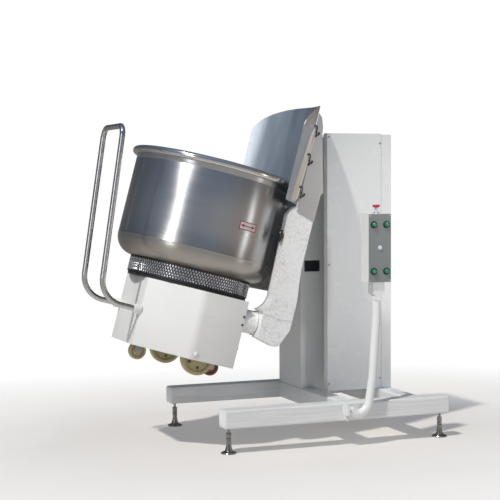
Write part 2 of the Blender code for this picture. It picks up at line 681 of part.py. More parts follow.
def bowl(axis):
    inner_radius = WALL_RADIUS - WALL
    corner = (WALL_RADIUS - BOWL_CORNER, -BOWL_DEPTH + BOWL_CORNER)
    bead_centre = (RIM_RADIUS - BEAD, -BEAD)
    inner_corner = arc(corner, BOWL_CORNER - WALL, -90.0, 0.0, 4)
    outer_corner = arc(corner, BOWL_CORNER, 0.0, -90.0, 4)
    bead = arc(bead_centre, BEAD, 162.0, -150.0, 9)
    wall = [(inner_radius, BOWL_SEAM), (inner_radius, -0.030)] + bead + [(WALL_RADIUS, -0.034),
                                                                         (WALL_RADIUS, BOWL_SEAM)]
    turned("bowl", wall, STAINLESS, axis, steps=44)
    seam = BOWL_SEAM - GAP
    base = ([(0.0, -BOWL_DEPTH + WALL)] + inner_corner + [(inner_radius, seam), (WALL_RADIUS, seam)] + outer_corner
            + [(SPINDLE_RADIUS, -BOWL_DEPTH), (SPINDLE_RADIUS, -0.740), (0.0, -0.740)])
    turned("bowl_base", base, STAINLESS, axis, steps=44)
    top = -BOWL_DEPTH - GAP
    ring = [(RING_RADIUS - 0.012, top), (RING_RADIUS - 0.003, top), (RING_RADIUS, top - 0.003),
            (RING_RADIUS, RING_BOTTOM + 0.003), (RING_RADIUS - 0.003, RING_BOTTOM),
            (RING_RADIUS - 0.012, RING_BOTTOM)]
    turned("drive_ring", ring, DARK_STEEL, axis, steps=44)


# ---------------------------------------------------------------- trolley

def hood_outline(inset):
    chamfer = math.atan2(HOOD_SIDE - HOOD_FRONT_HALF, HOOD_BEND_X - HOOD_FRONT)
    front_half = HOOD_FRONT_HALF - inset * math.tan((math.pi / 2 - chamfer) / 2)
    bend_x = HOOD_BEND_X + inset * math.tan(chamfer / 2)
    side = HOOD_SIDE - inset
    front = HOOD_FRONT + inset
    rear = HOOD_REAR + (0.02 if inset else 0.0)
    points = [(front, -front_half), (bend_x, -side), (rear, -side), (rear, side), (bend_x, side),
              (front, front_half)]
    return rounded(points, [0.012 - inset, 0.060 - inset, 0.0, 0.0, 0.060 - inset, 0.012 - inset], steps=3)


def hood(frame):
    made = plate("hood", hood_outline(0.0), "Z", HOOD_BOTTOM, HOOD_TOP, CREAM, frame)
    for sign in (-1, 1):
        fuse(made, rod("handle_boss", (HOOD_FRONT + 0.006, sign * HANDLE_HALF, HANDLE_Z),
                       (HOOD_FRONT - 0.030, sign * HANDLE_HALF, HANDLE_Z), 0.020, CREAM, frame, 24))
    cut(made, plate("hood_inside", hood_outline(SHEET), "Z", HOOD_BOTTOM - 0.01, HOOD_TOP - SHEET, None, frame))
    for sign in (-1, 1):
        cut(made, rod(f"handle_socket_{sign}", (HOOD_FRONT + 0.004, sign * HANDLE_HALF, HANDLE_Z),
                      (HOOD_FRONT - 0.060, sign * HANDLE_HALF, HANDLE_Z), HANDLE_RADIUS + 0.0006, None, frame, 16))
    cut(made, rod("spindle_hole", (0, 0, HOOD_TOP - 0.02), (0, 0, HOOD_TOP + 0.02),
                  SPINDLE_RADIUS + 0.004, None, frame, 32))


def handle(frame):
    """One stainless tube: two legs from the hood, up past the rim, and a cross bar."""
    start = HOOD_FRONT - 0.001
    top = (-0.510, 0.045)
    foot = (-0.425, HANDLE_Z)
    near = [(start, -HANDLE_HALF, HANDLE_Z), (foot[0], -HANDLE_HALF, foot[1]), (top[0], -HANDLE_HALF, top[1])]
    far = [(x, -y, z) for x, y, z in reversed(near)]
    path = rounded(near + far, [0, 0.110, 0.050, 0.050, 0.110, 0], closed=False, steps=6)
    pipe("trolley_handle", path, HANDLE_RADIUS, POLISHED, frame, sides=10)


def chassis(frame):
    """Plate under the hood that carries the casters, the axle hangers and the bowl's bearing pedestal."""
    bottom = CHASSIS_TOP - 0.010
    outline = [(-0.205, -0.110), (-0.150, -0.190), (0.245, -0.190), (0.245, 0.190), (-0.150, 0.190), (-0.205, 0.110)]
    plate_made = plate("chassis", outline, "Z", bottom, CHASSIS_TOP, GREY_PAINT, frame)
    axle_z = WHEEL_BOTTOM + WHEEL_RADIUS
    for sign in (-1, 1):
        low, high = sorted((sign * 0.180, sign * 0.190))
        fuse(plate_made, box("hanger", (WHEEL_X - 0.030, low, axle_z - 0.020), (WHEEL_X + 0.030, high, bottom + 0.002),
                             GREY_PAINT, frame))
    reach = WHEEL_Y + WHEEL_WIDTH / 2 + 0.006
    fuse(plate_made, rod("axle", (WHEEL_X, -reach, axle_z), (WHEEL_X, reach, axle_z), 0.010, GREY_PAINT, frame, 20))
    pedestal = [(SPINDLE_RADIUS + 0.0005, HOOD_TOP - SHEET - GAP), (0.090, HOOD_TOP - SHEET - GAP),
                (0.090, HOOD_TOP - 0.020), (0.060, HOOD_TOP - 0.026), (0.060, CHASSIS_TOP + 0.020),
                (0.085, CHASSIS_TOP + 0.014), (0.085, CHASSIS_TOP + GAP), (SPINDLE_RADIUS + 0.0005, CHASSIS_TOP + GAP)]
    turned("bearing_pedestal", pedestal, GREY_PAINT, frame, steps=24)
    band = [(0.262, RING_BOTTOM - GAP), (0.276, RING_BOTTOM - GAP), (0.276, HOOD_TOP + GAP), (0.262, HOOD_TOP + GAP)]
    turned("bearing_band", band, BLACK, frame, steps=32)
    for side, sign in (("near", -1), ("far", 1)):
        profile = [(TINE_RADIUS + 0.001, 0.180), (TINE_RADIUS + 0.004, 0.180), (TINE_RADIUS + 0.004, 0.070),
                   (TINE_RADIUS + 0.001, 0.070)]
        sleeve = turned(f"{side}_tine_sleeve", profile, GREY_PAINT, frame, (0.0, sign * TINE_Y, TINE_Z), 28)
        sleeve.rotation_euler = (0.0, math.radians(90.0), 0.0)


def wheel_profile(radius, width, rim, hub, bore):
    """A cast wheel: thick rim and hub with a thinner web, about the Z axis."""
    half = width / 2
    web = width * 0.16
    return [(bore, half), (hub, half), (hub, web), (rim, web), (rim, half - 0.003), (radius - 0.004, half - 0.003),
            (radius, half - 0.008), (radius, -half + 0.008), (radius - 0.004, -half + 0.003), (rim, -half + 0.003),
            (rim, -web), (hub, -web), (hub, -half), (bore, -half)]


def large_wheel(side, sign, axis):
    profile = wheel_profile(WHEEL_RADIUS, WHEEL_WIDTH, 0.060, 0.024, 0.0105)
    wheel = turned(f"{side}_wheel", profile, OLIVE, axis, steps=26)
    wheel.rotation_euler = (math.radians(90.0), 0.0, 0.0)
    bake_turn(wheel)
    for index in range(5):
        angle = math.tau * index / 5
        x, z = 0.042 * math.cos(angle), 0.042 * math.sin(angle)
        cut(wheel, rod(f"{side}_wheel_hole_{index}", (x, -0.02, z), (x, 0.02, z), 0.011, None, axis, 10))


def bake_turn(obj):
    """Moves an object's own rotation into its mesh."""
    obj.data.transform(obj.rotation_euler.to_matrix().to_4x4())
    obj.rotation_euler = (0.0, 0.0, 0.0)


def caster(name, swivel, axle):
    """A fork under a swivel plate, with the wheel on its own axle, which trails the swivel."""
    trail = CASTER_TRAIL
    plate_top = CHASSIS_TOP - 0.010 - GAP - swivel_z()
    fork = rod(f"{name}_caster_fork", (0, 0, plate_top - 0.022), (0, 0, plate_top), 0.026, MACHINED, swivel, 24)
    fuse(fork, box("crown", (-0.020, -0.024, plate_top - 0.030), (trail + 0.016, 0.024, plate_top - 0.020),
                   MACHINED, swivel))
    for sign in (-1, 1):
        low, high = sorted((sign * 0.0205, sign * 0.024))
        cheek = rounded([(-0.020, plate_top - 0.022), (trail - 0.012, -0.012), (trail + 0.012, -0.012),
                         (trail + 0.016, plate_top - 0.022)], [0, 0.010, 0.010, 0], steps=3)
        fuse(fork, plate("cheek", cheek, "Y", low, high, MACHINED, swivel))
    fuse(fork, rod("pin", (trail, -0.027, 0), (trail, 0.027, 0), 0.006, MACHINED, swivel, 12))
    wheel = turned(f"{name}_caster_wheel",
                   wheel_profile(CASTER_RADIUS, 0.034, 0.030, 0.014, 0.0065), OLIVE, axle, steps=20)
    wheel.rotation_euler = (math.radians(90.0), 0.0, 0.0)
    bake_turn(wheel)


def swivel_z():
    """Height of the caster axles in the bowl frame."""
    return WHEEL_BOTTOM + CASTER_RADIUS


# ---------------------------------------------------------------- assembly

def build():
    base = empty("base_axis", None, FRAME_SHIFT)
    pinion_axis = empty("pinion_axis", base, PIVOT - Vector((0.0, 0.0, PINION_DROP)))
    tilt_axis = empty("tilt_axis", base, PIVOT, TILT)
    bowl_frame = empty("bowl_frame", tilt_axis, -bowl_point(PIVOT))
    latch_axis = empty("latch_axis", bowl_frame, (0.2665, -0.305, -0.236))
    axle_z = WHEEL_BOTTOM + WHEEL_RADIUS
    floor_frame(base)
    column(base)
    tilt_drive(base, pinion_axis)
    control_station(base)
    tilt_lever(tilt_axis, bowl_frame)
    near_arm = fork_arm("near", -1, bowl_frame)
    fork_arm("far", 1, bowl_frame)
    latch(latch_axis, bowl_frame, near_arm)
    guard("near", -1, bowl_frame)
    guard("far", 1, bowl_frame)
    chute(bowl_frame)
    carriage(bowl_frame)
    bowl(bowl_frame)
    hood(bowl_frame)
    handle(bowl_frame)
    chassis(bowl_frame)
    for side, sign in (("near", -1), ("far", 1)):
        large_wheel(side, sign, empty(f"{side}_wheel_axis", bowl_frame, (WHEEL_X, sign * WHEEL_Y, axle_z)))
    for name, x in (("front", FRONT_CASTER_X), ("rear", REAR_CASTER_X)):
        swivel = empty(f"{name}_swivel_axis", bowl_frame, (x - CASTER_TRAIL, 0.0, swivel_z()))
        caster(name, swivel, empty(f"{name}_axle_axis", swivel, (CASTER_TRAIL, 0.0, 0.0)))


build()
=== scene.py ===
"""Looks for the bowl tipper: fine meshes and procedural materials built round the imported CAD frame."""
import json
import math

import bmesh
import bpy
from mathutils import Matrix, Vector, noise

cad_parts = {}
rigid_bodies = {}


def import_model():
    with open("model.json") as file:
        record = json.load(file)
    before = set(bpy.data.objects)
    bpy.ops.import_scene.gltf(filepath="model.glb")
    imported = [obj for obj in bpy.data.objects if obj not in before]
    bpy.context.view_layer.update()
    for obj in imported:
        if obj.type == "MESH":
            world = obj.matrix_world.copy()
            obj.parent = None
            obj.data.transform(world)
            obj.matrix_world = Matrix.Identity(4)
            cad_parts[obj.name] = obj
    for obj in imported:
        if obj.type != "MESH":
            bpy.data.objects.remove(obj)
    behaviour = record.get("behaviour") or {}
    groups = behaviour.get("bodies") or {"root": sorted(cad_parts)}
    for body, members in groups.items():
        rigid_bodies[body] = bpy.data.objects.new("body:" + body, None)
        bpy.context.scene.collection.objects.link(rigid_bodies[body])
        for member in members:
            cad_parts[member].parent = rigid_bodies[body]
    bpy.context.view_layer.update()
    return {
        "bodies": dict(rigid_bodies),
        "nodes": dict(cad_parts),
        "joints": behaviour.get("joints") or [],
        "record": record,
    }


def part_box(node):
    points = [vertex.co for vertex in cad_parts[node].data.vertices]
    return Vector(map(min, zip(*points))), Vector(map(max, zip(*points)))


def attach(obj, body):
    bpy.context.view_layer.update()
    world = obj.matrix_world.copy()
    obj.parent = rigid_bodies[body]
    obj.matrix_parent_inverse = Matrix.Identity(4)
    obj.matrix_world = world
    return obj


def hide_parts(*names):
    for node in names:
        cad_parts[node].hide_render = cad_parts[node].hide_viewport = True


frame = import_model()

JOINTS = {joint["name"]: joint for joint in frame["joints"]}
NODES = frame["nodes"]


# ------------ frames and sizes, in metres

def base_frame():
    """Origin on the floor at the beams' front ends, midway between the two beams."""
    near_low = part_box("near_beam")[0]
    far_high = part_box("far_beam")[1]
    return Matrix.Translation((near_low.x, (near_low.y + far_high.y) / 2, 0.0))


def bowl_frame():
    """Origin at the rim's centre, z along the bowl's own axis."""
    joint = JOINTS["bowl_spin"]
    up = Vector(joint["axis"]).normalized()
    across = Vector((0.0, 1.0, 0.0))
    out = across.cross(up).normalized()
    turn = Matrix((out, across, up)).transposed()
    return Matrix.Translation(joint["pos_m"]) @ turn.to_4x4()


BASE = base_frame()
TILTED = bowl_frame()
TILT_ANGLE = math.atan2(JOINTS["bowl_spin"]["axis"][0], JOINTS["bowl_spin"]["axis"][2])

# Floor beams, in the base frame.
TUBE = 0.080
BEAM_TOP = 0.193
BEAM_LENGTH = 1.105
BEAM_SPACING = 0.744

# Bowl, ring, trolley and chute, in the bowl's frame: heights are from the rim, along the bowl's axis.
SHEET = 0.003
RIM_RADIUS = 0.384
BEAD = 0.016
WALL_RADIUS = 0.360
WALL_GROOVE = -0.0520
WALL_SEAM = -0.3970
BOWL_DEPTH = 0.484
BOWL_CORNER = 0.086
SPINDLE_RADIUS = 0.040
SPINDLE_END = -0.740
RING_RADIUS = 0.280
RING_TOP = -0.4845
RING_BOTTOM = -0.556
RING_EDGE = 0.0045
STUD_CELLS = 132
STUD_ROWS = 5
HOOD_TOP = -0.570
HOOD_BOTTOM = -0.872
HOOD_FRONT = -0.238
HOOD_SIDE = 0.322
HOOD_FRONT_HALF = 0.166
HOOD_BEND_X = -0.016
HOOD_REAR = 0.190
HOOD_HOLE = 0.044
HANDLE_RADIUS = 0.0125
HANDLE_HALF = 0.156
HANDLE_Z = -0.715
HANDLE_ELBOW_X = -0.425
HANDLE_TOP = (-0.510, 0.045)
ARM_OUTER = 0.345
CHUTE_RADIUS = 0.400
CHUTE_SHEET = 0.002
CHUTE_BOTTOM = -0.090
CHUTE_EDGE_TOP = 0.250
CHUTE_CROWN = 0.145
CHUTE_HALF_ANGLE = 52.0
HOOK_HEIGHTS = (-0.045, 0.105, 0.235)

# Feet, control post and cross beams, in the base frame.
FOOT_NUT = 0.0125
FOOT_PROFILE = ((0.0, 0.0), (0.0335, 0.0), (0.0345, 0.001), (0.0345, 0.0035), (0.0325, 0.0065),
                (0.028, 0.0085), (0.019, 0.0115), (0.0165, 0.0145), (0.0160, 0.018), (0.0125, 0.030),
                (0.0105, 0.044), (0.0112, 0.050), (0.0108, 0.055), (0.0, 0.055))
STUD_LOW = 0.056
STUD_HIGH = 0.150
POST_RADIUS = 0.019
PANEL_FRONT = -0.4780
CROSS_BEAMS = (0.609, 0.940)

# Camera and light, in the base frame.
CAMERA_PLACE = (-2.035, -5.883, 1.174)
CAMERA_TURN = (-21.49, -2.79, -0.26)
CAMERA_LENS = 98.1
SUN_DIRECTION = Vector((0.55, 0.30, -1.0))
SUN_STRENGTH = 2.5
SUN_COLOUR = (1.0, 0.97, 0.92)
WORLD_STRENGTH = 0.80
WORLD_STOPS = ((0.0, (0.62, 0.60, 0.57)), (0.44, (0.66, 0.64, 0.61)), (0.50, (0.62, 0.63, 0.64)),
               (0.56, (0.30, 0.34, 0.40)), (0.75, (0.24, 0.30, 0.40)), (1.0, (0.34, 0.42, 0.56)))
FLOOR_GLOW = 0.16
SOFT_LIGHTS = (("left_strip", (-3.15, -2.25, 2.1), (0.05, 0.0, 1.0), (0.75, 2.6), 22.0),
               ("right_strip", (2.3, -2.1, 0.6), (0.05, 0.0, 1.0), (0.30, 1.2), 3.5))
COVER_LIGHT = ((1.9, -3.6, 2.3), (0.86, -0.07, 0.92), 170.0)


# ------------ node materials

def shade(colour, factor):
    """The colour made darker or lighter, no brighter than 1."""
    return tuple(min(1.0, part * factor) for part in colour)


def configure(thing, **settings):
    """Gives a node, light, camera or modifier its settings."""
    for key, value in settings.items():
        setattr(thing, key, value)


def set_inputs(tree, node, values):
    """Gives a node's inputs their values, or links them to other nodes' outputs."""
    for key, value in values.items():
        if isinstance(value, bpy.types.NodeSocket):
            tree.links.new(value, node.inputs[key])
        else:
            node.inputs[key].default_value = value


def add_node(tree, kind, inputs=None, **settings):
    """Adds a node with its settings and its inputs."""
    node = tree.nodes.new(kind)
    configure(node, **settings)
    set_inputs(tree, node, inputs or {})
    return node


class Graph:
    """A material's node tree, with a Principled shader ready at its end."""

    def __init__(self, name, colour, roughness, metallic=0.0):
        """Starts the material with plain values, which finish may replace."""
        self.material = bpy.data.materials.new(name)
        self.material.use_nodes = True
        self.material.diffuse_color = (*colour, 1.0)
        self.tree = self.material.node_tree
        self.shader = self.tree.nodes["Principled BSDF"]
        self.finish(Base_Color=(*colour, 1.0), Roughness=roughness, Metallic=metallic)

    def add(self, kind, inputs=None, **settings):
        """Adds a node to this material."""
        return add_node(self.tree, kind, inputs, **settings)

    def math(self, operation, a, b):
        """The result of one sum on two numbers or outputs."""
        return self.add("ShaderNodeMath", {0: a, 1: b}, operation=operation).outputs[0]

    def place(self):
        """Rest-pose coordinates, in metres, which travel with the piece."""
        return self.add("ShaderNodeTexCoord").outputs["Object"]

    def bowl_place(self):
        """The same coordinates turned into the bowl's own frame."""
        centre = TILTED.translation
        moved = self.add("ShaderNodeVectorMath", {0: self.place(), 1: tuple(centre)}, operation="SUBTRACT")
        turned = self.add("ShaderNodeVectorRotate", {"Vector": moved.outputs[0], "Angle": -TILT_ANGLE},
                          rotation_type="Y_AXIS")
        return turned.outputs[0]

    def vector(self, x, y, z):
        """Coordinates put together from three numbers or outputs."""
        return self.add("ShaderNodeCombineXYZ", {0: x, 1: y, 2: z}).outputs[0]

    def scaled(self, vector, scale):
        """Coordinates multiplied axis by axis, which stretches a pattern."""
        return self.add("ShaderNodeVectorMath", {0: vector, 1: scale}, operation="MULTIPLY").outputs[0]

    def noise(self, vector, scale, detail=2.0, roughness=0.5):
        """Cloudy noise between 0 and 1."""
        node = self.add("ShaderNodeTexNoise",
                        {"Vector": vector, "Scale": scale, "Detail": detail, "Roughness": roughness})
        return node.outputs["Fac"]

    def ramp(self, value, low, high, out_low=0.0, out_high=1.0):
        """Maps the range low to high onto out_low to out_high, and holds the ends."""
        node = self.add("ShaderNodeMapRange", {"Value": value, "From Min": low, "From Max": high,
                                               "To Min": out_low, "To Max": out_high})
        return node.outputs["Result"]

    def mix(self, factor, first, second):
        """One colour mixed into another."""
        first, second = (c if isinstance(c, bpy.types.NodeSocket) else (*c, 1.0) for c in (first, second))
        return self.add("ShaderNodeMix", {0: factor, 6: first, 7: second}, data_type="RGBA").outputs[2]

    def bump(self, height, strength, distance, normal=None):
        """A bumped surface normal, laid over an earlier one if there is one."""
        inputs = {"Height": height, "Strength": strength, "Distance": distance}
        if normal is not None:
            inputs["Normal"] = normal
        return self.add("ShaderNodeBump", inputs).outputs["Normal"]

    def edge_wear(self, amount, width=0.006):
        """0 on flat faces, rising to amount on outer edges."""
        bevel = self.add("ShaderNodeBevel", {"Radius": width}, samples=4)
        geometry = self.add("ShaderNodeNewGeometry")
        dot = self.add("ShaderNodeVectorMath", {0: bevel.outputs[0], 1: geometry.outputs["Normal"]},
                       operation="DOT_PRODUCT")
        return self.ramp(dot.outputs["Value"], 0.999, 0.93, 0.0, amount)

    def finish(self, **inputs):
        """Sets the shader's inputs and returns the material."""
        set_inputs(self.tree, self.shader, {key.replace("_", " "): value for key, value in inputs.items()})
        return self.material


def powder_coat(name, colour, peel=0.25, peel_scale=260.0, roughness=0.38, dirt=0.06, sparkle=0.0):
    """Painted sheet: slight tone drift, orange peel, fine grain, faint grime and darker edges."""
    g = Graph(name, colour, roughness)
    place = g.place()
    drift = g.noise(place, 3.5, 4.0, 0.6)
    cloud = g.noise(g.scaled(place, (2.0, 2.0, 5.0)), 6.0, 5.0, 0.65)
    grime = shade(colour, 1.0 - dirt * 2.2)
    tone = g.mix(g.ramp(drift, 0.35, 0.75), colour, shade(colour, 1.0 - dirt))
    tone = g.mix(g.ramp(cloud, 0.58, 0.80, 0.0, 0.6), tone, grime)
    tone = g.mix(g.edge_wear(0.35), tone, shade(colour, 0.72))
    pits = g.noise(place, peel_scale, 2.0, 0.6)
    fine = g.noise(place, peel_scale * 4.0, 1.0)
    normal = g.bump(pits, peel, 0.0012)
    normal = g.bump(fine, peel * 0.35, 0.0003, normal)
    rough = g.ramp(g.noise(place, 14.0, 3.0), 0.3, 0.7, roughness - 0.06, roughness + 0.08)
    return g.finish(Base_Color=tone, Roughness=rough, Normal=normal, Coat_Weight=0.15 + sparkle,
                    Coat_Roughness=0.12)


def peeled_paint(name, colour):
    """Thick glossy paint over rough plate: coarse orange peel whose hollows look grey."""
    g = Graph(name, colour, 0.28)
    place = g.place()
    coarse = g.noise(place, 75.0, 3.0, 0.65)
    fine = g.noise(g.scaled(place, (260.0, 260.0, 110.0)), 1.0, 2.0, 0.6)
    broad = g.noise(place, 7.0, 3.0, 0.6)
    both = g.math("ADD", g.math("MULTIPLY", coarse, 0.6), g.math("MULTIPLY", fine, 0.4))
    fleck = g.math("MULTIPLY", g.ramp(both, 0.47, 0.60), g.ramp(broad, 0.38, 0.62, 0.15, 1.0))
    tone = g.mix(fleck, colour, shade(colour, 0.70))
    tone = g.mix(g.edge_wear(0.3), tone, shade(colour, 0.75))
    normal = g.bump(coarse, 0.55, 0.004)
    normal = g.bump(fine, 0.45, 0.0015, normal)
    return g.finish(Base_Color=tone, Normal=normal, Coat_Weight=0.5, Coat_Roughness=0.15)


def brushed(name, colour, roughness, along, scratch, aniso, stain_and_ground_reflection_tint=None):
    """Brushed steel in the bowl's frame, brushed round its axis or along x or z. A given stain colour marks
    random stains and also darkens and browns the foot, a painted reflection of the warm ground.
    """
    g = Graph(name, colour, roughness, 1.0)
    place = g.bowl_place()
    parts = g.add("ShaderNodeSeparateXYZ", {0: place})
    if along == "around":
        angle = g.math("ARCTAN2", parts.outputs[1], parts.outputs[0])
        height = parts.outputs[2]
        lines = g.vector(g.math("MULTIPLY", angle, 1.3), 0.0, g.math("MULTIPLY", height, 420.0))
        broad = g.vector(g.math("MULTIPLY", angle, 0.7), 0.0, g.math("MULTIPLY", height, 60.0))
        local = g.vector(0.0, 0.0, 1.0)
    else:
        stretch = {"x": (1.5, 260.0, 260.0), "z": (260.0, 260.0, 1.5)}[along]
        lines = g.scaled(place, stretch)
        broad = g.scaled(place, tuple(s * 0.15 for s in stretch))
        local = g.vector(*(1.0 if axis == along else 0.0 for axis in "xyz"))
    hair = g.noise(lines, 1.0, 4.0, 0.7)
    band = g.noise(broad, 1.0, 3.0, 0.6)
    stain = g.noise(place, 5.0, 4.0, 0.6)
    tone = g.mix(g.ramp(hair, 0.3, 0.7), shade(colour, 0.95), shade(colour, 1.04))
    tone = g.mix(g.ramp(stain, 0.50, 0.80, 0.0, 0.35), tone, stain_and_ground_reflection_tint or shade(colour, 0.8))
    if stain_and_ground_reflection_tint:
        # Painted reflection: the foot turns darker and browner towards the bottom, standing in for the warm
        # ground it reflects.
        low = g.ramp(parts.outputs[2], -0.33, -0.47, 0.0, 0.85)
        tone = g.mix(low, tone, shade(stain_and_ground_reflection_tint, 0.78))
    rough = g.ramp(band, 0.3, 0.7, roughness - 0.02, roughness + 0.03)
    normal = g.bump(hair, scratch, 0.0004)
    local = g.add("ShaderNodeVectorRotate", {"Vector": local, "Angle": TILT_ANGLE}, rotation_type="Y_AXIS")
    tangent = g.add("ShaderNodeVectorTransform", {0: local.outputs[0]}, vector_type="VECTOR",
                    convert_from="OBJECT", convert_to="WORLD").outputs[0]
    return g.finish(Base_Color=tone, Roughness=rough, Normal=normal, Tangent=tangent, Anisotropic=aniso)


def rolled_sheet(name, colour, roughness):
    """Rolled stainless sheet: streaks and cloudy patches that run up the sheet, and small marks."""
    g = Graph(name, colour, roughness, 1.0)
    place = g.bowl_place()
    streak = g.noise(g.scaled(place, (22.0, 22.0, 2.0)), 1.0, 3.0, 0.55)
    patch = g.noise(g.scaled(place, (5.0, 5.0, 3.0)), 1.0, 4.0, 0.6)
    mark = g.noise(g.scaled(place, (9.0, 9.0, 26.0)), 1.0, 3.0, 0.7)
    tone = g.mix(g.ramp(streak, 0.30, 0.72), shade(colour, 0.92), shade(colour, 1.08))
    tone = g.mix(g.ramp(patch, 0.48, 0.72, 0.0, 0.7), tone, shade(colour, 1.22))
    tone = g.mix(g.ramp(mark, 0.60, 0.78, 0.0, 0.5), tone, shade(colour, 0.80))
    rough = g.ramp(streak, 0.3, 0.7, roughness - 0.03, roughness + 0.05)
    normal = g.bump(g.noise(g.scaled(place, (90.0, 90.0, 6.0)), 1.0, 2.0), 0.02, 0.0004)
    normal = g.bump(g.noise(place, 7.0, 2.0), 0.10, 0.006, normal)
    return g.finish(Base_Color=tone, Roughness=rough, Normal=normal)


def streaked_paint(name, colour):
    """Painted rolled tube: fine lines along its length, broad patches and darker edges."""
    g = Graph(name, colour, 0.42)
    place = g.place()
    lines = g.noise(g.scaled(place, (5.0, 230.0, 230.0)), 1.0, 3.0, 0.6)
    broad = g.noise(g.scaled(place, (2.0, 60.0, 60.0)), 1.0, 3.0, 0.6)
    tone = g.mix(g.ramp(lines, 0.38, 0.68), shade(colour, 0.86), colour)
    tone = g.mix(g.ramp(broad, 0.50, 0.75, 0.0, 0.6), tone, shade(colour, 0.80))
    tone = g.mix(g.edge_wear(0.35), tone, shade(colour, 0.72))
    return g.finish(Base_Color=tone, Normal=g.bump(lines, 0.25, 0.001), Coat_Weight=0.15)


def metal(name, colour, roughness, grain=60.0, bump=0.05, spots=0.2):
    """Turned, cast or plated metal with a little tone variation and wear."""
    g = Graph(name, colour, roughness, 1.0)
    place = g.place()
    patch = g.noise(place, grain, 4.0, 0.6)
    tone = g.mix(g.ramp(patch, 0.35, 0.7), shade(colour, 1.0 - spots), colour)
    tone = g.mix(g.edge_wear(1.0, 0.002), tone, shade(colour, 1.5))
    rough = g.ramp(patch, 0.3, 0.7, roughness - 0.08, roughness + 0.12)
    normal = g.bump(g.noise(place, grain * 8, 2.0), bump, 0.0004)
    return g.finish(Base_Color=tone, Roughness=rough, Normal=normal)


def plastic(name, colour, roughness, grain=900.0, bump=0.03, **extra):
    """Moulded plastic or rubber with a fine grain and paler edges."""
    g = Graph(name, colour, roughness)
    place = g.place()
    patch = g.ramp(g.noise(place, 40.0, 3.0), 0.35, 0.7, 0.0, 0.5)
    edge = tuple(min(1.0, c * 1.3 + 0.03) for c in colour)
    tone = g.mix(patch, colour, shade(colour, 0.8))
    tone = g.mix(g.edge_wear(0.3, 0.0015), tone, edge)
    return g.finish(Base_Color=tone, Normal=g.bump(g.noise(place, grain, 2.0), bump, 0.0002), **extra)


def make_materials():
    """Every material, by the short name that the pieces use."""
    return {
        "white": powder_coat("white_paint", (0.80, 0.81, 0.80)),
        # The arm paint is whiter than the other paint: partly its own finish, partly a painted sheen for the
        # sunlit arms.
        "arm": peeled_paint("arm_paint_with_painted_sheen", (0.92, 0.915, 0.905)),
        "cream": powder_coat("cream_paint", (0.81, 0.805, 0.785), peel=0.2, roughness=0.40),
        # The bowl's stain colour marks random stains and also paints the warm ground's reflection on its
        # foot.
        "bowl": brushed("bowl_steel", (0.47, 0.475, 0.49), 0.29, "around", 0.02, 0.80,
                        stain_and_ground_reflection_tint=(0.47, 0.42, 0.35)),
        "bead": brushed("bead_steel", (0.62, 0.61, 0.60), 0.16, "around", 0.01, 0.2),
        "chute": rolled_sheet("chute_steel", (0.62, 0.66, 0.70), 0.33),
        "guard": brushed("guard_steel", (0.56, 0.55, 0.55), 0.38, "x", 0.08, 0.4),
        "tube": metal("polished_tube", (0.55, 0.545, 0.54), 0.13, 30.0, 0.01, 0.06),
        "ring": metal("ring_steel", (0.075, 0.075, 0.078), 0.42, 120.0, 0.2, 0.4),
        "steel": metal("machined_steel", (0.42, 0.42, 0.43), 0.33),
        "stud": metal("ring_stud", (0.62, 0.63, 0.66), 0.26, 200.0, 0.10, 0.35),
        "foot": metal("foot_chrome", (0.34, 0.32, 0.30), 0.24, 150.0, 0.10, 0.45),
        "beam": streaked_paint("beam_paint", (0.80, 0.805, 0.80)),
        "strip": brushed("strip_steel", (0.66, 0.63, 0.57), 0.40, "z", 0.10, 0.4),
        "cover": powder_coat("cover_paint", (0.82, 0.83, 0.83), 0.12, 180.0, 0.22, 0.03, 0.4),
        "post": powder_coat("post_paint", (0.80, 0.81, 0.80), 0.10, 200.0, 0.32, 0.04),
        "label_red": plastic("label_red", (0.45, 0.03, 0.04), 0.35, 500.0, 0.02),
        "label_white": plastic("label_white", (0.72, 0.72, 0.72), 0.35, 500.0, 0.02),
        "dark": metal("dark_steel", (0.10, 0.10, 0.105), 0.36),
        "brass": metal("brass_pin", (0.55, 0.36, 0.13), 0.3),
        "black": plastic("black_rubber", (0.015, 0.015, 0.016), 0.6),
        "wheel": plastic("cast_wheel", (0.47, 0.40, 0.22), 0.42, 120.0, 0.25),
        # Painted shade: the colour of the dark discs that stand in for the shaded inside of the wheels'
        # holes.
        "hole_shade": plastic("wheel_hole_shade", (0.14, 0.11, 0.06), 0.7, 300.0, 0.1),
        "tyre": plastic("caster_tyre", (0.22, 0.09, 0.055), 0.6, 400.0, 0.1),
        "grey": powder_coat("grey_paint", (0.20, 0.22, 0.22), 0.2, 300.0, 0.45),
        "green": plastic("green_button", (0.0, 0.26, 0.11), 0.15, Coat_Weight=0.8),
        "red": plastic("red_button", (0.55, 0.012, 0.012), 0.3, Coat_Weight=0.3),
        "lamp": plastic("lamp_lens", (0.62, 0.66, 0.74), 0.12, Coat_Weight=0.6),
        # Painted shade: the window is a near-black plate standing in for the shaded inside of the column's
        # opening.
        "window": plastic("opening_shade_black", (0.012, 0.014, 0.018), 0.35),
    }


M = make_materials()
SLOT_MATERIALS = {"white_paint": "white", "cream_paint": "cream", "stainless": "guard",
                  "polished_stainless": "tube", "dark_steel": "dark", "machined_steel": "steel",
                  "black_rubber": "black", "cast_wheel": "wheel",
                  "grey_paint": "grey", "green_button": "green", "red_button": "red", "lamp": "lamp",
                  "window": "window"}


# ------------ stage, light and camera

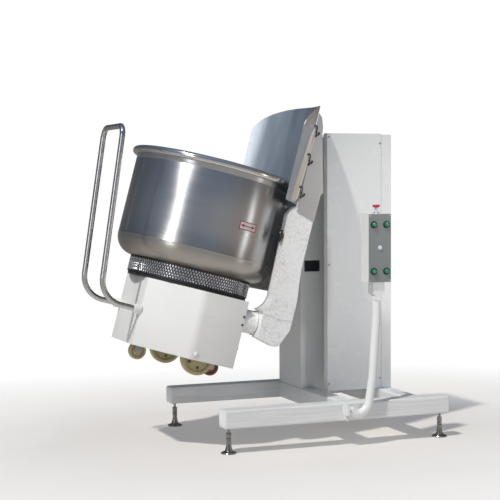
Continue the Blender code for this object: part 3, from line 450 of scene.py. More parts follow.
def stage():
    """A pale floor that fades into the white surroundings a few metres away."""
    bpy.ops.mesh.primitive_plane_add(size=24.0)
    floor = bpy.context.object
    floor.name = "floor"
    g = Graph("floor_pale", (0.62, 0.61, 0.60), 0.8)
    place = g.place()
    tone = g.mix(g.ramp(g.noise(place, 1.3, 4.0), 0.3, 0.7), (0.66, 0.635, 0.61), (0.62, 0.595, 0.57))
    g.finish(Base_Color=tone, Emission_Color=(1.0, 0.96, 0.92, 1.0), Emission_Strength=FLOOR_GLOW)
    flat = g.scaled(place, (0.75, 1.0, 1.0))
    distance = g.add("ShaderNodeVectorMath", {0: flat}, operation="LENGTH").outputs["Value"]
    wobble = g.math("MULTIPLY", g.noise(place, 0.8, 2.0), 0.5)
    clear = g.ramp(g.math("ADD", distance, wobble), 1.0, 2.6)
    see_through = g.add("ShaderNodeBsdfTransparent")
    mixed = g.add("ShaderNodeMixShader", {0: clear, 1: g.shader.outputs[0], 2: see_through.outputs[0]})
    set_inputs(g.tree, g.tree.nodes["Material Output"], {"Surface": mixed.outputs[0]})
    floor.data.materials.append(g.material)


def world_light():
    """Blue-grey sky over warm pale ground, dimmer behind and warmer on the right. The camera sees white."""
    world = bpy.data.worlds.new("studio")
    bpy.context.scene.world = world
    world.use_nodes = True
    tree = world.node_tree
    coords = add_node(tree, "ShaderNodeTexCoord")
    parts = add_node(tree, "ShaderNodeSeparateXYZ", {0: coords.outputs["Generated"]})
    height = add_node(tree, "ShaderNodeMapRange", {"Value": parts.outputs[2], "From Min": -1.0})
    ramp = add_node(tree, "ShaderNodeValToRGB", {0: height.outputs["Result"]})
    stops = ramp.color_ramp.elements
    stops[0].color = (*WORLD_STOPS[0][1], 1.0)
    stops[1].color = (*WORLD_STOPS[-1][1], 1.0)
    for position, colour in WORLD_STOPS[1:-1]:
        stops.new(position).color = (*colour, 1.0)
    behind = add_node(tree, "ShaderNodeMapRange",
                      {"Value": parts.outputs[1], "From Min": -0.1, "From Max": 0.9,
                       "To Min": WORLD_STRENGTH, "To Max": WORLD_STRENGTH * 0.45})
    right = add_node(tree, "ShaderNodeMapRange",
                     {"Value": parts.outputs[0], "From Min": 0.1, "From Max": 0.9})
    warm = add_node(tree, "ShaderNodeMix",
                    {0: right.outputs["Result"], 6: ramp.outputs[0], 7: (0.80, 0.66, 0.54, 1.0)},
                    data_type="RGBA", blend_type="MULTIPLY")
    background = tree.nodes["Background"]
    set_inputs(tree, background, {0: warm.outputs[2], 1: behind.outputs["Result"]})
    white = add_node(tree, "ShaderNodeBackground", {0: (1.0, 1.0, 1.0, 1.0)})
    path = add_node(tree, "ShaderNodeLightPath")
    choose = add_node(tree, "ShaderNodeMixShader", {0: path.outputs["Is Camera Ray"],
                                                    1: background.outputs[0], 2: white.outputs[0]})
    set_inputs(tree, tree.nodes["World Output"], {"Surface": choose.outputs[0]})


def add_object(name, data):
    """A new object, linked into the scene."""
    obj = bpy.data.objects.new(name, data)
    bpy.context.scene.collection.objects.link(obj)
    return obj


def lamp(name, kind, place, direction, **settings):
    """Adds a light that shines along a direction."""
    light = bpy.data.lights.new(name, kind)
    configure(light, **settings)
    obj = add_object(name, light)
    obj.location = place
    obj.rotation_euler = direction.to_track_quat("-Z", "Y").to_euler()


def lights():
    """A high sun from the front left, two soft strips, and a soft spot on the side cover."""
    lamp("sun", "SUN", (0.0, 0.0, 0.0), SUN_DIRECTION, energy=SUN_STRENGTH, angle=math.radians(2.5),
         color=SUN_COLOUR)
    for name, place, aim, (width, height), power in SOFT_LIGHTS:
        start = BASE @ Vector(place)
        lamp(name, "AREA", start, BASE @ Vector(aim) - start, shape="RECTANGLE", size=width, size_y=height,
             energy=power)
    place, aim, power = COVER_LIGHT
    start = BASE @ Vector(place)
    lamp("cover_spot", "SPOT", start, BASE @ Vector(aim) - start, spot_size=math.radians(20.0),
         spot_blend=0.9, shadow_soft_size=0.25, energy=power)


def camera():
    """The camera in front of the machine, a little to its left, and the plain view transform."""
    data = bpy.data.cameras.new("camera")
    configure(data, lens=CAMERA_LENS, sensor_width=36.0, clip_end=100.0)
    obj = add_object("camera", data)
    obj.location = BASE @ Vector(CAMERA_PLACE)
    azimuth, pitch, roll = (math.radians(a) for a in CAMERA_TURN)
    level = math.cos(pitch)
    forward = Vector((-math.sin(azimuth) * level, math.cos(azimuth) * level, math.sin(pitch)))
    right = Vector((math.cos(azimuth), math.sin(azimuth), 0.0))
    up = right.cross(forward)
    rolled_right = math.cos(roll) * right + math.sin(roll) * up
    rolled_up = math.cos(roll) * up - math.sin(roll) * right
    obj.rotation_mode = "QUATERNION"
    obj.rotation_quaternion = Matrix((rolled_right, rolled_up, -forward)).transposed().to_quaternion()
    bpy.context.scene.camera = obj
    bpy.context.scene.view_settings.view_transform = "Standard"


camera()
stage()
world_light()
lights()


# ------------ CAD nodes that keep their shape

def dress(node, look):
    """Gives a CAD node its material and softened edges."""
    obj = NODES[node]
    obj.data.materials.clear()
    obj.data.materials.append(M[look])
    configure(obj.modifiers.new("weld", "WELD"), merge_threshold=0.00001)
    configure(obj.modifiers.new("flat", "DECIMATE"), decimate_type="DISSOLVE", angle_limit=math.radians(0.5))
    configure(obj.modifiers.new("edges", "BEVEL"), width=0.0015, segments=2, limit_method="ANGLE",
              angle_limit=math.radians(30.0), use_clamp_overlap=True)


LOOKS = {"near_beam": "beam", "far_beam": "beam", "near_arm": "arm", "far_arm": "arm", "near_tine": "arm",
         "far_tine": "arm", "near_cover": "cover", "rear_cover": "cover"}
slots = {row["node"]: row["material_slot"] for row in frame["record"]["subparts"]}
for name in NODES:
    dress(name, LOOKS.get(name, SLOT_MATERIALS[slots[name]]))


# ------------ mesh helpers, in world coordinates at rest

def arc(centre, radius, start, end, steps):
    """Points of an arc in a plane, angles in degrees."""
    angles = [math.radians(start + (end - start) * i / steps) for i in range(steps + 1)]
    return [(centre[0] + radius * math.cos(a), centre[1] + radius * math.sin(a)) for a in angles]


def circle(radius, count):
    """Evenly spaced points of a circle in a plane."""
    return arc((0.0, 0.0), radius, 0.0, 360.0, count)[:-1]


def fillet(points, radii, steps, closed=True):
    """Rounds a polyline's corners, in two or three dimensions."""
    points = [Vector(p) for p in points]
    out = []
    count = len(points)
    for i, corner in enumerate(points):
        radius = radii[i] if isinstance(radii, (list, tuple)) else radii
        if radius <= 0.0 or (not closed and i in (0, count - 1)):
            out.append(corner)
            continue
        before = (points[i - 1] - corner).normalized()
        after = (points[(i + 1) % count] - corner).normalized()
        angle = before.angle(after)
        reach = radius / math.tan(angle / 2)
        middle = corner + (before + after).normalized() * radius / math.sin(angle / 2)
        first = corner + before * reach - middle
        last = corner + after * reach - middle
        turn = first.angle(last)
        for k in range(steps + 1):
            t = k / steps
            reached = math.sin((1 - t) * turn) * first + math.sin(t * turn) * last
            out.append(middle + reached / math.sin(turn))
    return out


def revolve(bm, profile, frame, steps):
    """Turns (radius, height) points about the frame's z axis."""
    rows = []
    for radius, height in profile:
        if radius == 0.0:
            rows.append([bm.verts.new(frame @ Vector((0.0, 0.0, height)))] * steps)
        else:
            rows.append([bm.verts.new(frame @ Vector((x, y, height))) for x, y in circle(radius, steps)])
    for upper, lower in zip(rows, rows[1:]):
        for i in range(steps):
            j = (i + 1) % steps
            corners = list(dict.fromkeys((upper[i], upper[j], lower[j], lower[i])))
            if len(corners) > 2:
                bm.faces.new(corners)


def loop_of(profile):
    """A closed profile, for a ring."""
    return profile + profile[:1]


def sweep(bm, path, radius, frame, sides):
    """A round tube along a path, with closed ends. The radius may be one number or one for each point."""
    points = [frame @ Vector(p) for p in path]
    radii = radius if isinstance(radius, (list, tuple)) else [radius] * len(points)
    across = None
    rings = []
    for i, point in enumerate(points):
        ahead = (points[min(i + 1, len(points) - 1)] - points[max(i - 1, 0)]).normalized()
        if across is None:
            across = ahead.orthogonal().normalized()
        across = (across - ahead * across.dot(ahead)).normalized()
        other = ahead.cross(across)
        rings.append([bm.verts.new(point + radii[i] * (x * across + y * other))
                      for x, y in circle(1.0, sides)])
    for first, second in zip(rings, rings[1:]):
        for k in range(sides):
            bm.faces.new((first[k], first[(k + 1) % sides], second[(k + 1) % sides], second[k]))
    bm.faces.new(rings[0])
    bm.faces.new(rings[-1])


def axis_frame(frame, place, direction):
    """A frame with its origin at place and its z axis along direction."""
    turn = Vector((0.0, 0.0, 1.0)).rotation_difference(Vector(direction)).to_matrix().to_4x4()
    return frame @ Matrix.Translation(place) @ turn


def prism(bm, outline, plane, low, high, frame):
    """Extrudes a closed outline: plane Y takes (x, z) points, plane Z takes (x, y), plane X takes (y, z)."""
    def place(p, d):
        """The outline's point p at depth d."""
        return frame @ Vector({"X": (d, p[0], p[1]), "Y": (p[0], d, p[1]), "Z": (p[0], p[1], d)}[plane])
    first = [bm.verts.new(place(p, low)) for p in outline]
    second = [bm.verts.new(place(p, high)) for p in outline]
    made = [bm.faces.new(first), bm.faces.new(second)]
    for i in range(len(first)):
        j = (i + 1) % len(first)
        made.append(bm.faces.new((first[i], first[j], second[j], second[i])))
    return made


def soften(bm, faces, width):
    """Bevels the sharp edges of the given faces."""
    bmesh.ops.recalc_face_normals(bm, faces=bm.faces)
    edges = {e for f in faces for e in f.edges if len(e.link_faces) == 2 and e.calc_face_angle(0.0) > 0.5}
    bmesh.ops.bevel(bm, geom=list(edges), offset=width, segments=2, affect="EDGES", profile=0.5,
                    clamp_overlap=True)


def bolt(bm, frame, place, direction, radius, height, domed=False):
    """A washer and a hex head, or a domed head, standing on a surface."""
    at = axis_frame(frame, place, direction)
    wide, thick = radius * 1.35, height * 0.25
    washer = [(0.0, 0.0), (wide, 0.0), (wide, height * 0.18), (radius * 1.25, thick), (0.0, thick)]
    revolve(bm, washer, at, 24)
    if domed:
        dome = [(radius * math.sin(a), height * math.cos(a)) for a in (0.3, 0.6, 0.9, 1.2, 1.5)]
        revolve(bm, [(0.0, height)] + dome + [(radius, 0.0), (0.0, 0.0)], at, 24)
        return
    soften(bm, prism(bm, circle(radius, 6), "Z", height * 0.2, height, at), radius * 0.12)


def bead_of_weld(bm, path, radius, frame, seed=0.0):
    """A weld bead with ripples along its length."""
    points = [Vector(p) for p in path]
    fine = []
    for a, b in zip(points, points[1:]):
        count = max(2, int((b - a).length / 0.0035))
        fine += [a.lerp(b, k / count) for k in range(count)]
    fine.append(points[-1])
    radii = [radius * (0.85 + 0.2 * math.sin(k * 2.1 + seed) + 0.25 * noise.noise(p * 60.0))
             for k, p in enumerate(fine)]
    sweep(bm, fine, radii, frame, 8)


def piece(name, bm, body, slot_name, stands_for=(), look=None, sharp=32.0):
    """Turns a finished mesh into a piece that rides on a body, in its slot's usual look or another."""
    bmesh.ops.recalc_face_normals(bm, faces=bm.faces)
    mesh = bpy.data.meshes.new(name)
    bm.to_mesh(mesh)
    bm.free()
    mesh.shade_smooth()
    mesh.set_sharp_from_angle(angle=math.radians(sharp))
    mesh.materials.append(M[look or SLOT_MATERIALS[slot_name]])
    obj = add_object(name, mesh)
    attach(obj, body)
    if stands_for:
        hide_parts(*stands_for)


def turned(name, profile, frame, steps, *dressing, **extra):
    """A piece that is one turned profile."""
    bm = bmesh.new()
    revolve(bm, profile, frame, steps)
    piece(name, bm, *dressing, **extra)


def middle_of(node):
    """The centre of a CAD node's box."""
    low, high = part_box(node)
    return (low + high) / 2


# ------------ bowl and drive ring

def bowl_shell():
    """Spun bowl with a rolled rim, a groove, a welded seam and its spindle, and the rim's bright bead."""
    corner = (WALL_RADIUS - BOWL_CORNER, -BOWL_DEPTH + BOWL_CORNER)
    bead_centre = (RIM_RADIUS - BEAD, -BEAD)
    inner = WALL_RADIUS - SHEET
    profile = [(0.0, -BOWL_DEPTH + SHEET)] + arc(corner, BOWL_CORNER - SHEET, -90.0, 0.0, 14)
    profile += [(inner, -0.10), (inner, -0.040)] + arc(bead_centre, BEAD, 155.0, -140.0, 26)
    wall = [(0.0015, -0.0315), (0.0, -0.036), (0.0, WALL_GROOVE + 0.0015), (-0.0008, WALL_GROOVE),
            (0.0, WALL_GROOVE - 0.0015), (0.0, -0.20), (0.0, -0.30), (0.0, WALL_SEAM + 0.0015),
            (0.0006, WALL_SEAM), (0.0, WALL_SEAM - 0.0015)]
    profile += [(WALL_RADIUS + out, z) for out, z in wall]
    profile += arc(corner, BOWL_CORNER, 0.0, -90.0, 18)[1:]
    profile += [(SPINDLE_RADIUS, -BOWL_DEPTH), (SPINDLE_RADIUS, SPINDLE_END), (0.0, SPINDLE_END)]
    turned("bowl_shell", profile, TILTED, 192, "bowl", "stainless", ("bowl", "bowl_base"), look="bowl")
    outer = arc(bead_centre, BEAD + 0.0003, 150.0, -135.0, 26)
    inner = arc(bead_centre, BEAD - 0.001, -135.0, 150.0, 26)
    turned("rim_bead", loop_of(outer + inner), TILTED, 192, "bowl", "stainless", look="bead")


def ring_point(angle, height, depth):
    """A point at a depth below the drive ring's outer face."""
    radius = RING_RADIUS - depth
    return TILTED @ Vector((radius * math.cos(angle), radius * math.sin(angle), height))


def drive_ring():
    """A ring wrapped in raised diamond lattice, as on a rubber-faced friction drive."""
    body = RING_RADIUS - 0.0022
    band = [(0.266, RING_TOP), (body - 0.001, RING_TOP), (body, RING_TOP - 0.001),
            (body, RING_BOTTOM + 0.001), (body - 0.001, RING_BOTTOM), (0.266, RING_BOTTOM)]
    turned("ring_band", loop_of(band), TILTED, 192, "bowl", "dark_steel", ("drive_ring",), look="ring")
    bm = bmesh.new()
    low, high = RING_BOTTOM + RING_EDGE, RING_TOP - RING_EDGE
    pitch = 2 * math.pi / STUD_CELLS
    lift = (high - low) / STUD_ROWS
    for row in range(STUD_ROWS):
        for cell in range(STUD_CELLS):
            shift = 0.5 if row % 2 else 0.0
            middle = (cell + shift) * pitch
            level = low + (row + 0.5) * lift
            corners = [(middle + x * pitch * 0.44, min(high, max(low, level + y * lift * 0.74)))
                       for x, y in circle(1.0, 4)]
            base = [bm.verts.new(ring_point(a, h, 0.0026)) for a, h in corners]
            peak = [bm.verts.new(ring_point(middle + (a - middle) * 0.45, level + (h - level) * 0.45, 0.0004))
                    for a, h in corners]
            bm.faces.new(peak)
            for i in range(4):
                j = (i + 1) % 4
                bm.faces.new((base[i], base[j], peak[j], peak[i]))
    piece("ring_studs", bm, "bowl", "dark_steel", sharp=20.0, look="stud")
    bm = bmesh.new()
    for low, high in ((RING_TOP - RING_EDGE, RING_TOP), (RING_BOTTOM, RING_BOTTOM + RING_EDGE)):
        edge = [(0.270, high), (RING_RADIUS - 0.0008, high), (RING_RADIUS, high - 0.001),
                (RING_RADIUS, low + 0.001), (RING_RADIUS - 0.0008, low), (0.270, low)]
        revolve(bm, loop_of(edge), TILTED, 192)
    piece("ring_edges", bm, "bowl", "dark_steel", look="ring")


def warning_plate():
    """A small plain plate on the bowl: a red frame and a double arrow, with no lettering."""
    middle_x, low, high, half = 0.090, -0.2715, -0.2345, 0.043
    radius = WALL_RADIUS + 0.0004

    def patch(bm, x0, x1, z0, z1, out):
        """A rectangle that follows the bowl's wall, standing out from it."""
        count = 8
        rows = []
        for z in (z0, z1):
            line = []
            for i in range(count + 1):
                x = x0 + (x1 - x0) * i / count
                line.append(bm.verts.new(TILTED @ Vector((x, -math.sqrt((radius + out) ** 2 - x * x), z))))
            rows.append(line)
        for i in range(count):
            bm.faces.new((rows[0][i], rows[0][i + 1], rows[1][i + 1], rows[1][i]))

    bm = bmesh.new()
    patch(bm, middle_x - half, middle_x + half, low, high, 0.0)
    piece("label_edge", bm, "bowl", "red_button", look="label_red")
    bm = bmesh.new()
    patch(bm, middle_x - half + 0.004, middle_x + half - 0.004, low + 0.004, high - 0.004, 0.0003)
    piece("label_face", bm, "bowl", "white_paint", look="label_white")
    bm = bmesh.new()
    centre = (low + high) / 2
    patch(bm, middle_x - 0.022, middle_x + 0.022, centre - 0.0022, centre + 0.0022, 0.0006)
    for sign in (-1, 1):
        for k in range(6):
            near = 0.020 + 0.0026 * k
            tall = 0.0072 * (1 - k / 6) + 0.0008
            x0, x1 = sorted((middle_x + sign * near, middle_x + sign * (near + 0.0026)))
            patch(bm, x0, x1, centre - tall, centre + tall, 0.0006)
    piece("label_arrow", bm, "bowl", "red_button", look="label_red")


# ------------ trolley

def hood_outline(inset):
    """The hood from above, inset from its outer face."""
    chamfer = math.atan2(HOOD_SIDE - HOOD_FRONT_HALF, HOOD_BEND_X - HOOD_FRONT)
    front_half = HOOD_FRONT_HALF - inset * math.tan((math.pi / 2 - chamfer) / 2)
    bend_x = HOOD_BEND_X + inset * math.tan(chamfer / 2)
    side = HOOD_SIDE - inset
    front = HOOD_FRONT + inset
    points = [(HOOD_REAR, -side), (bend_x, -side), (front, -front_half), (front, front_half), (bend_x, side),
              (HOOD_REAR, side)]
    radii = [0.0, 0.060 - inset, 0.012 - inset, 0.012 - inset, 0.060 - inset, 0.0]
    return fillet(points, radii, 10, closed=False)


def trolley_hood():
    """Folded sheet: front, two bends, two sides and a folded top with its round hole for the spindle."""
    bm = bmesh.new()
    outer = hood_outline(0.0)
    inner = hood_outline(SHEET)
    wall = prism(bm, outer + inner[::-1], "Z", HOOD_BOTTOM, HOOD_TOP, TILTED)
    soften(bm, wall, 0.0009)
    piece("hood_sheet", bm, "trolley", "cream_paint", ("hood",))
    bm = bmesh.new()
    edge = hood_outline(SHEET + 0.0002)
    for height in (HOOD_TOP - 0.0005, HOOD_TOP - SHEET):
        rows = []
        for x, y in circle(HOOD_HOLE, 96):
            direction = Vector((x, y)).normalized()
            reach = outline_reach(edge, direction)
            rows.append((bm.verts.new(TILTED @ Vector((x, y, height))),
                         bm.verts.new(TILTED @ Vector((direction.x * reach, direction.y * reach, height)))))
        for first, second in zip(rows, rows[1:] + rows[:1]):
            bm.faces.new((first[0], second[0], second[1], first[1]))
    piece("hood_top", bm, "trolley", "cream_paint")
    bm = bmesh.new()
    for sign in (-1, 1):
        at = axis_frame(TILTED, (HOOD_FRONT + 0.004, sign * HANDLE_HALF, HANDLE_Z), (-1, 0, 0))
        socket = [(HANDLE_RADIUS + 0.0003, 0.0), (0.020, 0.0), (0.020, 0.028), (0.0188, 0.0325),
                  (0.0150, 0.034), (HANDLE_RADIUS + 0.0003, 0.034)]
        revolve(bm, loop_of(socket), at, 40)
    piece("handle_sockets", bm, "trolley", "cream_paint")
    bm = bmesh.new()
    for sign in (-1, 1):
        bolt(bm, TILTED, (0.006, sign * HOOD_SIDE, -0.846), (0, sign, 0), 0.0115, 0.007, True)
    piece("hood_bolts", bm, "trolley", "cream_paint")
    bm = bmesh.new()
    for sign in (-1, 1):
        for height in (-0.640, -0.676):
            bolt(bm, TILTED, (HOOD_REAR - 0.006, sign * HOOD_SIDE, height), (0, sign, 0), 0.004, 0.003)
    piece("hood_rivets", bm, "trolley", "dark_steel")


def outline_reach(outline, direction):
    """Distance from the axis to the outline along a direction, or to the sheet's rear edge."""
    for a, b in zip(outline, outline[1:] + outline[:1]):
        edge = Vector((b[0] - a[0], b[1] - a[1]))
        cross = direction.x * edge.y - direction.y * edge.x
        if abs(cross) < 1e-9:
            continue
        t = (a[0] * edge.y - a[1] * edge.x) / cross
        u = (a[0] * direction.y - a[1] * direction.x) / cross
        if t > 0 and -1e-6 <= u <= 1 + 1e-6:
            return t
    return HOOD_REAR


def trolley_handle():
    """Polished tube that comes out of the hood's front, turns up and crosses over."""
    bm = bmesh.new()
    near = [(HOOD_FRONT - 0.001, -HANDLE_HALF, HANDLE_Z), (HANDLE_ELBOW_X, -HANDLE_HALF, HANDLE_Z),
            (HANDLE_TOP[0], -HANDLE_HALF, HANDLE_TOP[1])]
    far = [(x, -y, z) for x, y, z in reversed(near)]
    path = fillet(near + far, [0, 0.110, 0.050, 0.050, 0.110, 0], 14, closed=False)
    sweep(bm, path, HANDLE_RADIUS, TILTED, 28)
    piece("handle_tube", bm, "trolley", "polished_stainless", ("trolley_handle",))


def tine_sleeves():
    """Painted tube ends that the fork's tines enter."""
    for side in ("near", "far"):
        middle = TILTED.inverted() @ middle_of(f"{side}_tine_sleeve")
        at = axis_frame(TILTED, (0.070, middle.y, middle.z), (1, 0, 0))
        tube = [(0.0528, 0.0), (0.056, 0.001), (0.056, 0.109), (0.0552, 0.110), (0.0535, 0.110),
                (0.0528, 0.109)]
        turned(f"{side}_sleeve_tube", loop_of(tube), at, 56, "trolley", "grey_paint",
               (f"{side}_tine_sleeve",))


def wheel_mesh(bm, at, radius, half, tread, rim, hub, bore):
    """A cast wheel: tread, dished web and hub."""
    side = [(bore, half), (hub, half), (hub + 0.002, half - 0.002), (hub + 0.004, half * 0.45),
            (rim - 0.004, half * 0.40), (rim, half * 0.55), (rim + 0.0015, half - 0.004),
            (radius - tread, half - 0.003), (radius - 0.004, half - 0.003), (radius - 0.001, half - 0.006),
            (radius, half - 0.010)]
    profile = side + [(r, -z) for r, z in reversed(side)]
    revolve(bm, loop_of(profile), at, 72)


def wheels():
    """The two large wheels on the axle, and the two caster wheels."""
    for side in ("near", "far"):
        at = axis_frame(Matrix(), middle_of(f"{side}_wheel"), (0, 1, 0))
        bm = bmesh.new()
        wheel_mesh(bm, at, radius=0.075, half=0.022, tread=0.010, rim=0.058, hub=0.020, bore=0.0105)
        piece(f"{side}_wheel_cast", bm, f"{side}_wheel", "cast_wheel", (f"{side}_wheel",))
        bm = bmesh.new()
        # Thin dark discs on the web, painted shade standing in for holes through the wheel.
        for sign in (-1, 1):
            for x, y in arc((0.0, 0.0), 0.0405, 20.0, 380.0, 5)[:-1]:
                disc = [(0.0, 0.0006), (0.0070, 0.0006), (0.0078, 0.0), (0.0070, -0.0006), (0.0, -0.0006)]
                revolve(bm, disc, at @ Matrix.Translation((x, y, sign * 0.0096)), 24)
        piece(f"{side}_wheel_holes", bm, f"{side}_wheel", "dark_steel", look="hole_shade")
        bm = bmesh.new()
        for sign in (-1, 1):
            end = at @ Matrix.Translation((0.0, 0.0, sign * 0.0222))
            washer = [(0.0106, 0.0), (0.0155, 0.0), (0.0150, sign * 0.0014), (0.0106, sign * 0.0014)]
            revolve(bm, loop_of(washer), end, 28)
        piece(f"{side}_wheel_washers", bm, f"{side}_wheel", "machined_steel")
    for name in ("front", "rear"):
        at = axis_frame(Matrix(), middle_of(f"{name}_caster_wheel"), (0, 1, 0))
        bm = bmesh.new()
        wheel_mesh(bm, at, radius=0.040, half=0.017, tread=0.008, rim=0.028, hub=0.013, bore=0.0066)
        piece(f"{name}_caster_tyre", bm, f"{name}_caster_wheel", "cast_wheel", (f"{name}_caster_wheel",),
              look="wheel" if name == "front" else "tyre")


# ------------ chute, guards and fork

def chute_crown(angle):
    """Height of the chute's top edge, highest in the middle."""
    share = min(1.0, abs(angle) / CHUTE_HALF_ANGLE)
    return CHUTE_EDGE_TOP + CHUTE_CROWN * (1.0 - share ** 2.6) ** 0.62


def curved_chute():
    """Rolled sheet behind the rim, with a domed top edge."""
    bm = bmesh.new()
    columns, rows = 96, 24
    grids = []
    for radius in (CHUTE_RADIUS, CHUTE_RADIUS + CHUTE_SHEET):
        grid = []
        for i in range(columns + 1):
            angle = -CHUTE_HALF_ANGLE + 2 * CHUTE_HALF_ANGLE * i / columns
            turn = math.radians(angle)
            top = chute_crown(angle)
            grid.append([bm.verts.new(TILTED @ Vector((radius * math.cos(turn), radius * math.sin(turn),
                                                       CHUTE_BOTTOM + (top - CHUTE_BOTTOM) * k / rows)))
                         for k in range(rows + 1)])
        grids.append(grid)
        for i in range(columns):
            for k in range(rows):
                bm.faces.new((grid[i][k], grid[i + 1][k], grid[i + 1][k + 1], grid[i][k + 1]))
    first, second = grids
    for i in range(columns):
        for k in (0, rows):
            bm.faces.new((first[i][k], first[i + 1][k], second[i + 1][k], second[i][k]))
    for k in range(rows):
        for i in (0, columns):
            bm.faces.new((first[i][k], first[i][k + 1], second[i][k + 1], second[i][k]))
    piece("chute_sheet", bm, "fork", "stainless", ("chute",), look="chute")


def edge_strips():
    """Folded strips along the chute's two straight edges, lying on the guards' outer faces."""
    bm = bmesh.new()
    for sign in (-1, 1):
        outline = fillet([(0.2540, -0.078), (0.2585, -0.090), (0.2790, -0.090), (0.2865, -0.070),
                          (0.2990, 0.215), (0.3010, 0.262), (0.2900, 0.262), (0.2740, 0.215)], 0.006, 4)
        low, high = sorted((sign * 0.3483, sign * 0.3503))
        soften(bm, prism(bm, outline, "Y", low, high, TILTED), 0.0007)
    piece("chute_edge_strips", bm, "fork", "stainless", look="strip")


def hooks():
    """Bent black hooks that clip the chute's edge strips to the guards, with their bolts."""
    bm = bmesh.new()
    for sign in (-1, 1):
        for height in HOOK_HEIGHTS:
            path = [(0.283, 0.020), (0.289, 0.027), (0.296, 0.018), (0.297, -0.002), (0.304, -0.016),
                    (0.311, -0.012), (0.313, 0.000)]
            curve = fillet([(x, sign * 0.3525, height + z) for x, z in path], 0.004, 4, closed=False)
            sweep(bm, curve, 0.0036, TILTED, 10)
            bolt(bm, TILTED, (0.300, sign * 0.3480, height - 0.020), (0, sign, 0), 0.0045, 0.004)
    piece("guard_hooks", bm, "fork", "black_rubber")


def fork_welds():
    """Weld beads on the arms' outer faces and round the tines' roots."""
    bm = bmesh.new()
    ring = arc((0.0, 0.0), 0.0535, 0.0, 360.0, 60)
    for sign in (-1, 1):
        y = sign * (ARM_OUTER + 0.0004)
        bead_of_weld(bm, [(0.262, y, -0.603), (0.330, y, -0.612), (0.402, y, -0.606)], 0.0022, TILTED, sign)
        bead_of_weld(bm, [(0.2555, sign * 0.262 + y, z - 0.655) for y, z in ring], 0.0028, TILTED, sign)
    piece("fork_weld_beads", bm, "fork", "white_paint", look="arm")


def latch_detail():
    """The latch's brass pin and its bent wire, on the near arm."""
    centre = TILTED.inverted() @ middle_of("latch")
    bm = bmesh.new()
    ends = [(centre.x, centre.y + reach, centre.z) for reach in (-0.010, 0.012)]
    sweep(bm, ends, 0.0042, TILTED, 18)
    piece("latch_pin", bm, "latch", "machined_steel", look="brass")
    bm = bmesh.new()
    hook = [(-0.010, 0.034), (-0.016, 0.040), (-0.020, 0.030), (-0.012, 0.018), (-0.002, 0.022),
            (0.002, 0.002), (-0.004, -0.030)]
    path = fillet([(centre.x + x, centre.y - 0.012, centre.z + z) for x, z in hook], 0.005, 5, closed=False)
    sweep(bm, path, 0.0034, TILTED, 12)
    piece("latch_hook_wire", bm, "latch", "black_rubber")


# ------------ base, column and controls

def levelling_feet():
    """Round pad and cone, lock nut, nut and threaded stud at each of the beams' ends."""
    for name in ("foot_near_front", "foot_near_rear", "foot_far_front", "foot_far_rear"):
        middle = middle_of(name)
        at = Matrix.Translation((middle.x, middle.y, 0.0))
        turned(f"{name}_pad", FOOT_PROFILE, at, 48, "root", "dark_steel", (name,), look="foot")
        bm = bmesh.new()
        for base, top in ((0.0575, 0.0675), (0.0695, 0.0915)):
            soften(bm, prism(bm, circle(FOOT_NUT, 6), "Z", base, top, at), 0.0012)
        rows = 28
        thread = [(0.0060 if k % 2 else 0.0052, STUD_LOW + k * (STUD_HIGH - STUD_LOW) / rows)
                  for k in range(rows + 1)]
        revolve(bm, [(0.0, STUD_LOW)] + thread + [(0.0, STUD_HIGH)], at, 24)
        piece(f"{name}_stud", bm, "root", "dark_steel", look="foot")


def post_tube():
    """Bent tube from the beam up to the control box, with its clamp's bolts and hook."""
    y = (BASE.inverted() @ middle_of("control_post")).y
    box_bottom = (BASE.inverted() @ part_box("control_box")[0]).z
    path = [(0.585, y, 0.166), (0.622, y, 0.140), (0.672, y, 0.170), (0.694, y, 0.300), (0.713, y, 0.580),
            (0.713, y, box_bottom - 0.021)]
    bm = bmesh.new()
    sweep(bm, fillet(path, [0, 0.030, 0.060, 0.200, 0.300, 0], 16, closed=False), POST_RADIUS, BASE, 32)
    piece("post_tube", bm, "root", "white_paint", ("control_post",), look="post")
    bm = bmesh.new()
    for x in (0.574, 0.628):
        bolt(bm, BASE, (x, -0.418, 0.128), (0, -1, 0), 0.0055, 0.005)
    sweep(bm, [(0.560, -0.4405, 0.185), (0.560, -0.4405, 0.128), (0.572, -0.4405, 0.118)], 0.005, BASE, 12)
    piece("post_clamp_bolts", bm, "root", "white_paint")


def control_face():
    """Bezels, push buttons and panel screws on the control box."""
    bezels = bmesh.new()
    panel_low, panel_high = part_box("control_panel")
    for name in ("button_raise", "button_lower", "button_tilt", "button_return"):
        centre = middle_of(name)
        at = axis_frame(Matrix(), (centre.x, panel_high.y - 0.0028, centre.z), (0, -1, 0))
        ring = [(0.0108, 0.0), (0.0156, 0.0), (0.0156, 0.0036), (0.0142, 0.0056), (0.0124, 0.0058),
                (0.0108, 0.0050)]
        revolve(bezels, loop_of(ring), at, 48)
        button = axis_frame(Matrix(), (centre.x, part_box(name)[0].y, centre.z), (0, -1, 0))
        cap = [(0.0, -0.0002), (0.0065, -0.0006), (0.0085, -0.0014), (0.0098, -0.0030), (0.0103, -0.0055),
               (0.0103, -0.0135), (0.0, -0.0135)]
        turned(f"{name}_cap", cap, button, 40, name, "green_button", (name,))
    piece("button_bezels", bezels, "root", "black_rubber")
    screws = bmesh.new()
    face = (BASE @ Vector((0.0, PANEL_FRONT, 0.0))).y
    for x in (panel_low.x + 0.006, panel_high.x - 0.006):
        for z in (panel_low.z + 0.007, panel_high.z - 0.007):
            bolt(screws, Matrix(), (x, face, z), (0, -1, 0), 0.0024, 0.0014, True)
    piece("panel_screws", screws, "root", "machined_steel")


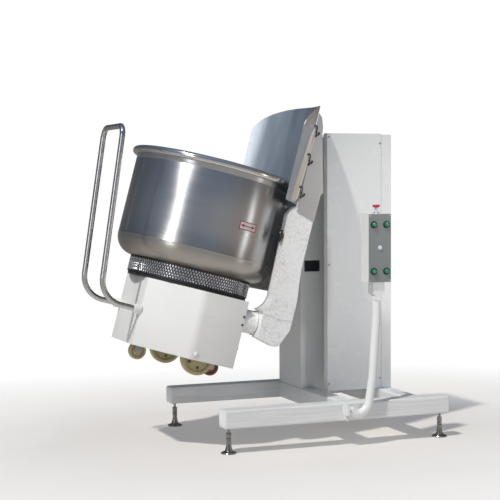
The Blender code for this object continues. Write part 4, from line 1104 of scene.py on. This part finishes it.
def emergency_stop():
    """A low red mushroom on a pale collar, on top of the control box."""
    middle = middle_of("emergency_stop")
    top = Matrix.Translation((middle.x, middle.y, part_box("emergency_stop")[1].z))
    cap = [(0.0, 0.0), (0.008, -0.0006), (0.014, -0.0022), (0.0165, -0.0045), (0.0172, -0.0068),
           (0.0168, -0.0090), (0.0140, -0.0118), (0.0100, -0.0140), (0.0075, -0.0150), (0.0, -0.0150)]
    turned("stop_cap", cap, top, 48, "emergency_stop", "red_button", ("emergency_stop",))
    stem = [(0.0, -0.0145), (0.0070, -0.0145), (0.0070, -0.0300), (0.0078, -0.0310), (0.0078, -0.0505),
            (0.0, -0.0505)]
    turned("stop_stem", stem, top, 32, "emergency_stop", "red_button", look="lamp")
    foot = top @ Matrix.Translation((0.0, 0.0, -0.0395))
    collar = [(0.0090, -0.0005), (0.0150, -0.0005), (0.0150, 0.0020), (0.0140, 0.0035), (0.0105, 0.0040),
              (0.0090, 0.0030)]
    turned("stop_collar", loop_of(collar), foot, 40, "root", "machined_steel")


def cover_screws():
    """Screws round the near cover, and the service window's two bolts."""
    bm = bmesh.new()
    for x, z in ((0.918, 1.363), (0.918, 0.241), (0.652, 0.228), (0.652, 0.790), (0.652, 1.390)):
        bolt(bm, BASE, (x, -0.0712, z), (0, -1, 0), 0.0042, 0.0026, True)
    piece("cover_screws", bm, "root", "machined_steel")
    bm = bmesh.new()
    for z in (0.757, 0.800):
        bolt(bm, BASE, (0.6625, 0.0757, z), (0, -1, 0), 0.003, 0.002)
    piece("window_bolts", bm, "root", "dark_steel")


def beam_welds():
    """Weld beads where the cross beams meet the long beams, and the caps on the long beams' ends."""
    bm = bmesh.new()
    inner = BEAM_SPACING / 2 - TUBE / 2
    base = BEAM_TOP - TUBE
    for x in CROSS_BEAMS:
        for y in (-inner, inner):
            for edge in (x - TUBE / 2, x + TUBE / 2):
                bead_of_weld(bm, [(edge, y, base + 0.004), (edge, y, BEAM_TOP - 0.002)], 0.0026, BASE, edge)
            bead_of_weld(bm, [(x - TUBE / 2, y, BEAM_TOP), (x + TUBE / 2, y, BEAM_TOP)], 0.0026, BASE, x)
    piece("beam_weld_beads", bm, "root", "white_paint")
    bm = bmesh.new()
    for sign in (-1, 1):
        for x in (-0.0006, BEAM_LENGTH + 0.0006):
            half = TUBE / 2 - 0.005
            middle = sign * BEAM_SPACING / 2
            low, high = sorted((x, x + math.copysign(0.002, -x)))
            outline = fillet([(middle - half, base + 0.005), (middle + half, base + 0.005),
                              (middle + half, BEAM_TOP - 0.005), (middle - half, BEAM_TOP - 0.005)], 0.006, 5)
            soften(bm, prism(bm, outline, "X", low, high, BASE), 0.0004)
    piece("beam_end_caps", bm, "root", "white_paint")


bowl_shell()
drive_ring()
warning_plate()
trolley_hood()
trolley_handle()
tine_sleeves()
wheels()
curved_chute()
edge_strips()
hooks()
fork_welds()
latch_detail()
levelling_feet()
post_tube()
control_face()
emergency_stop()
cover_screws()
beam_welds()
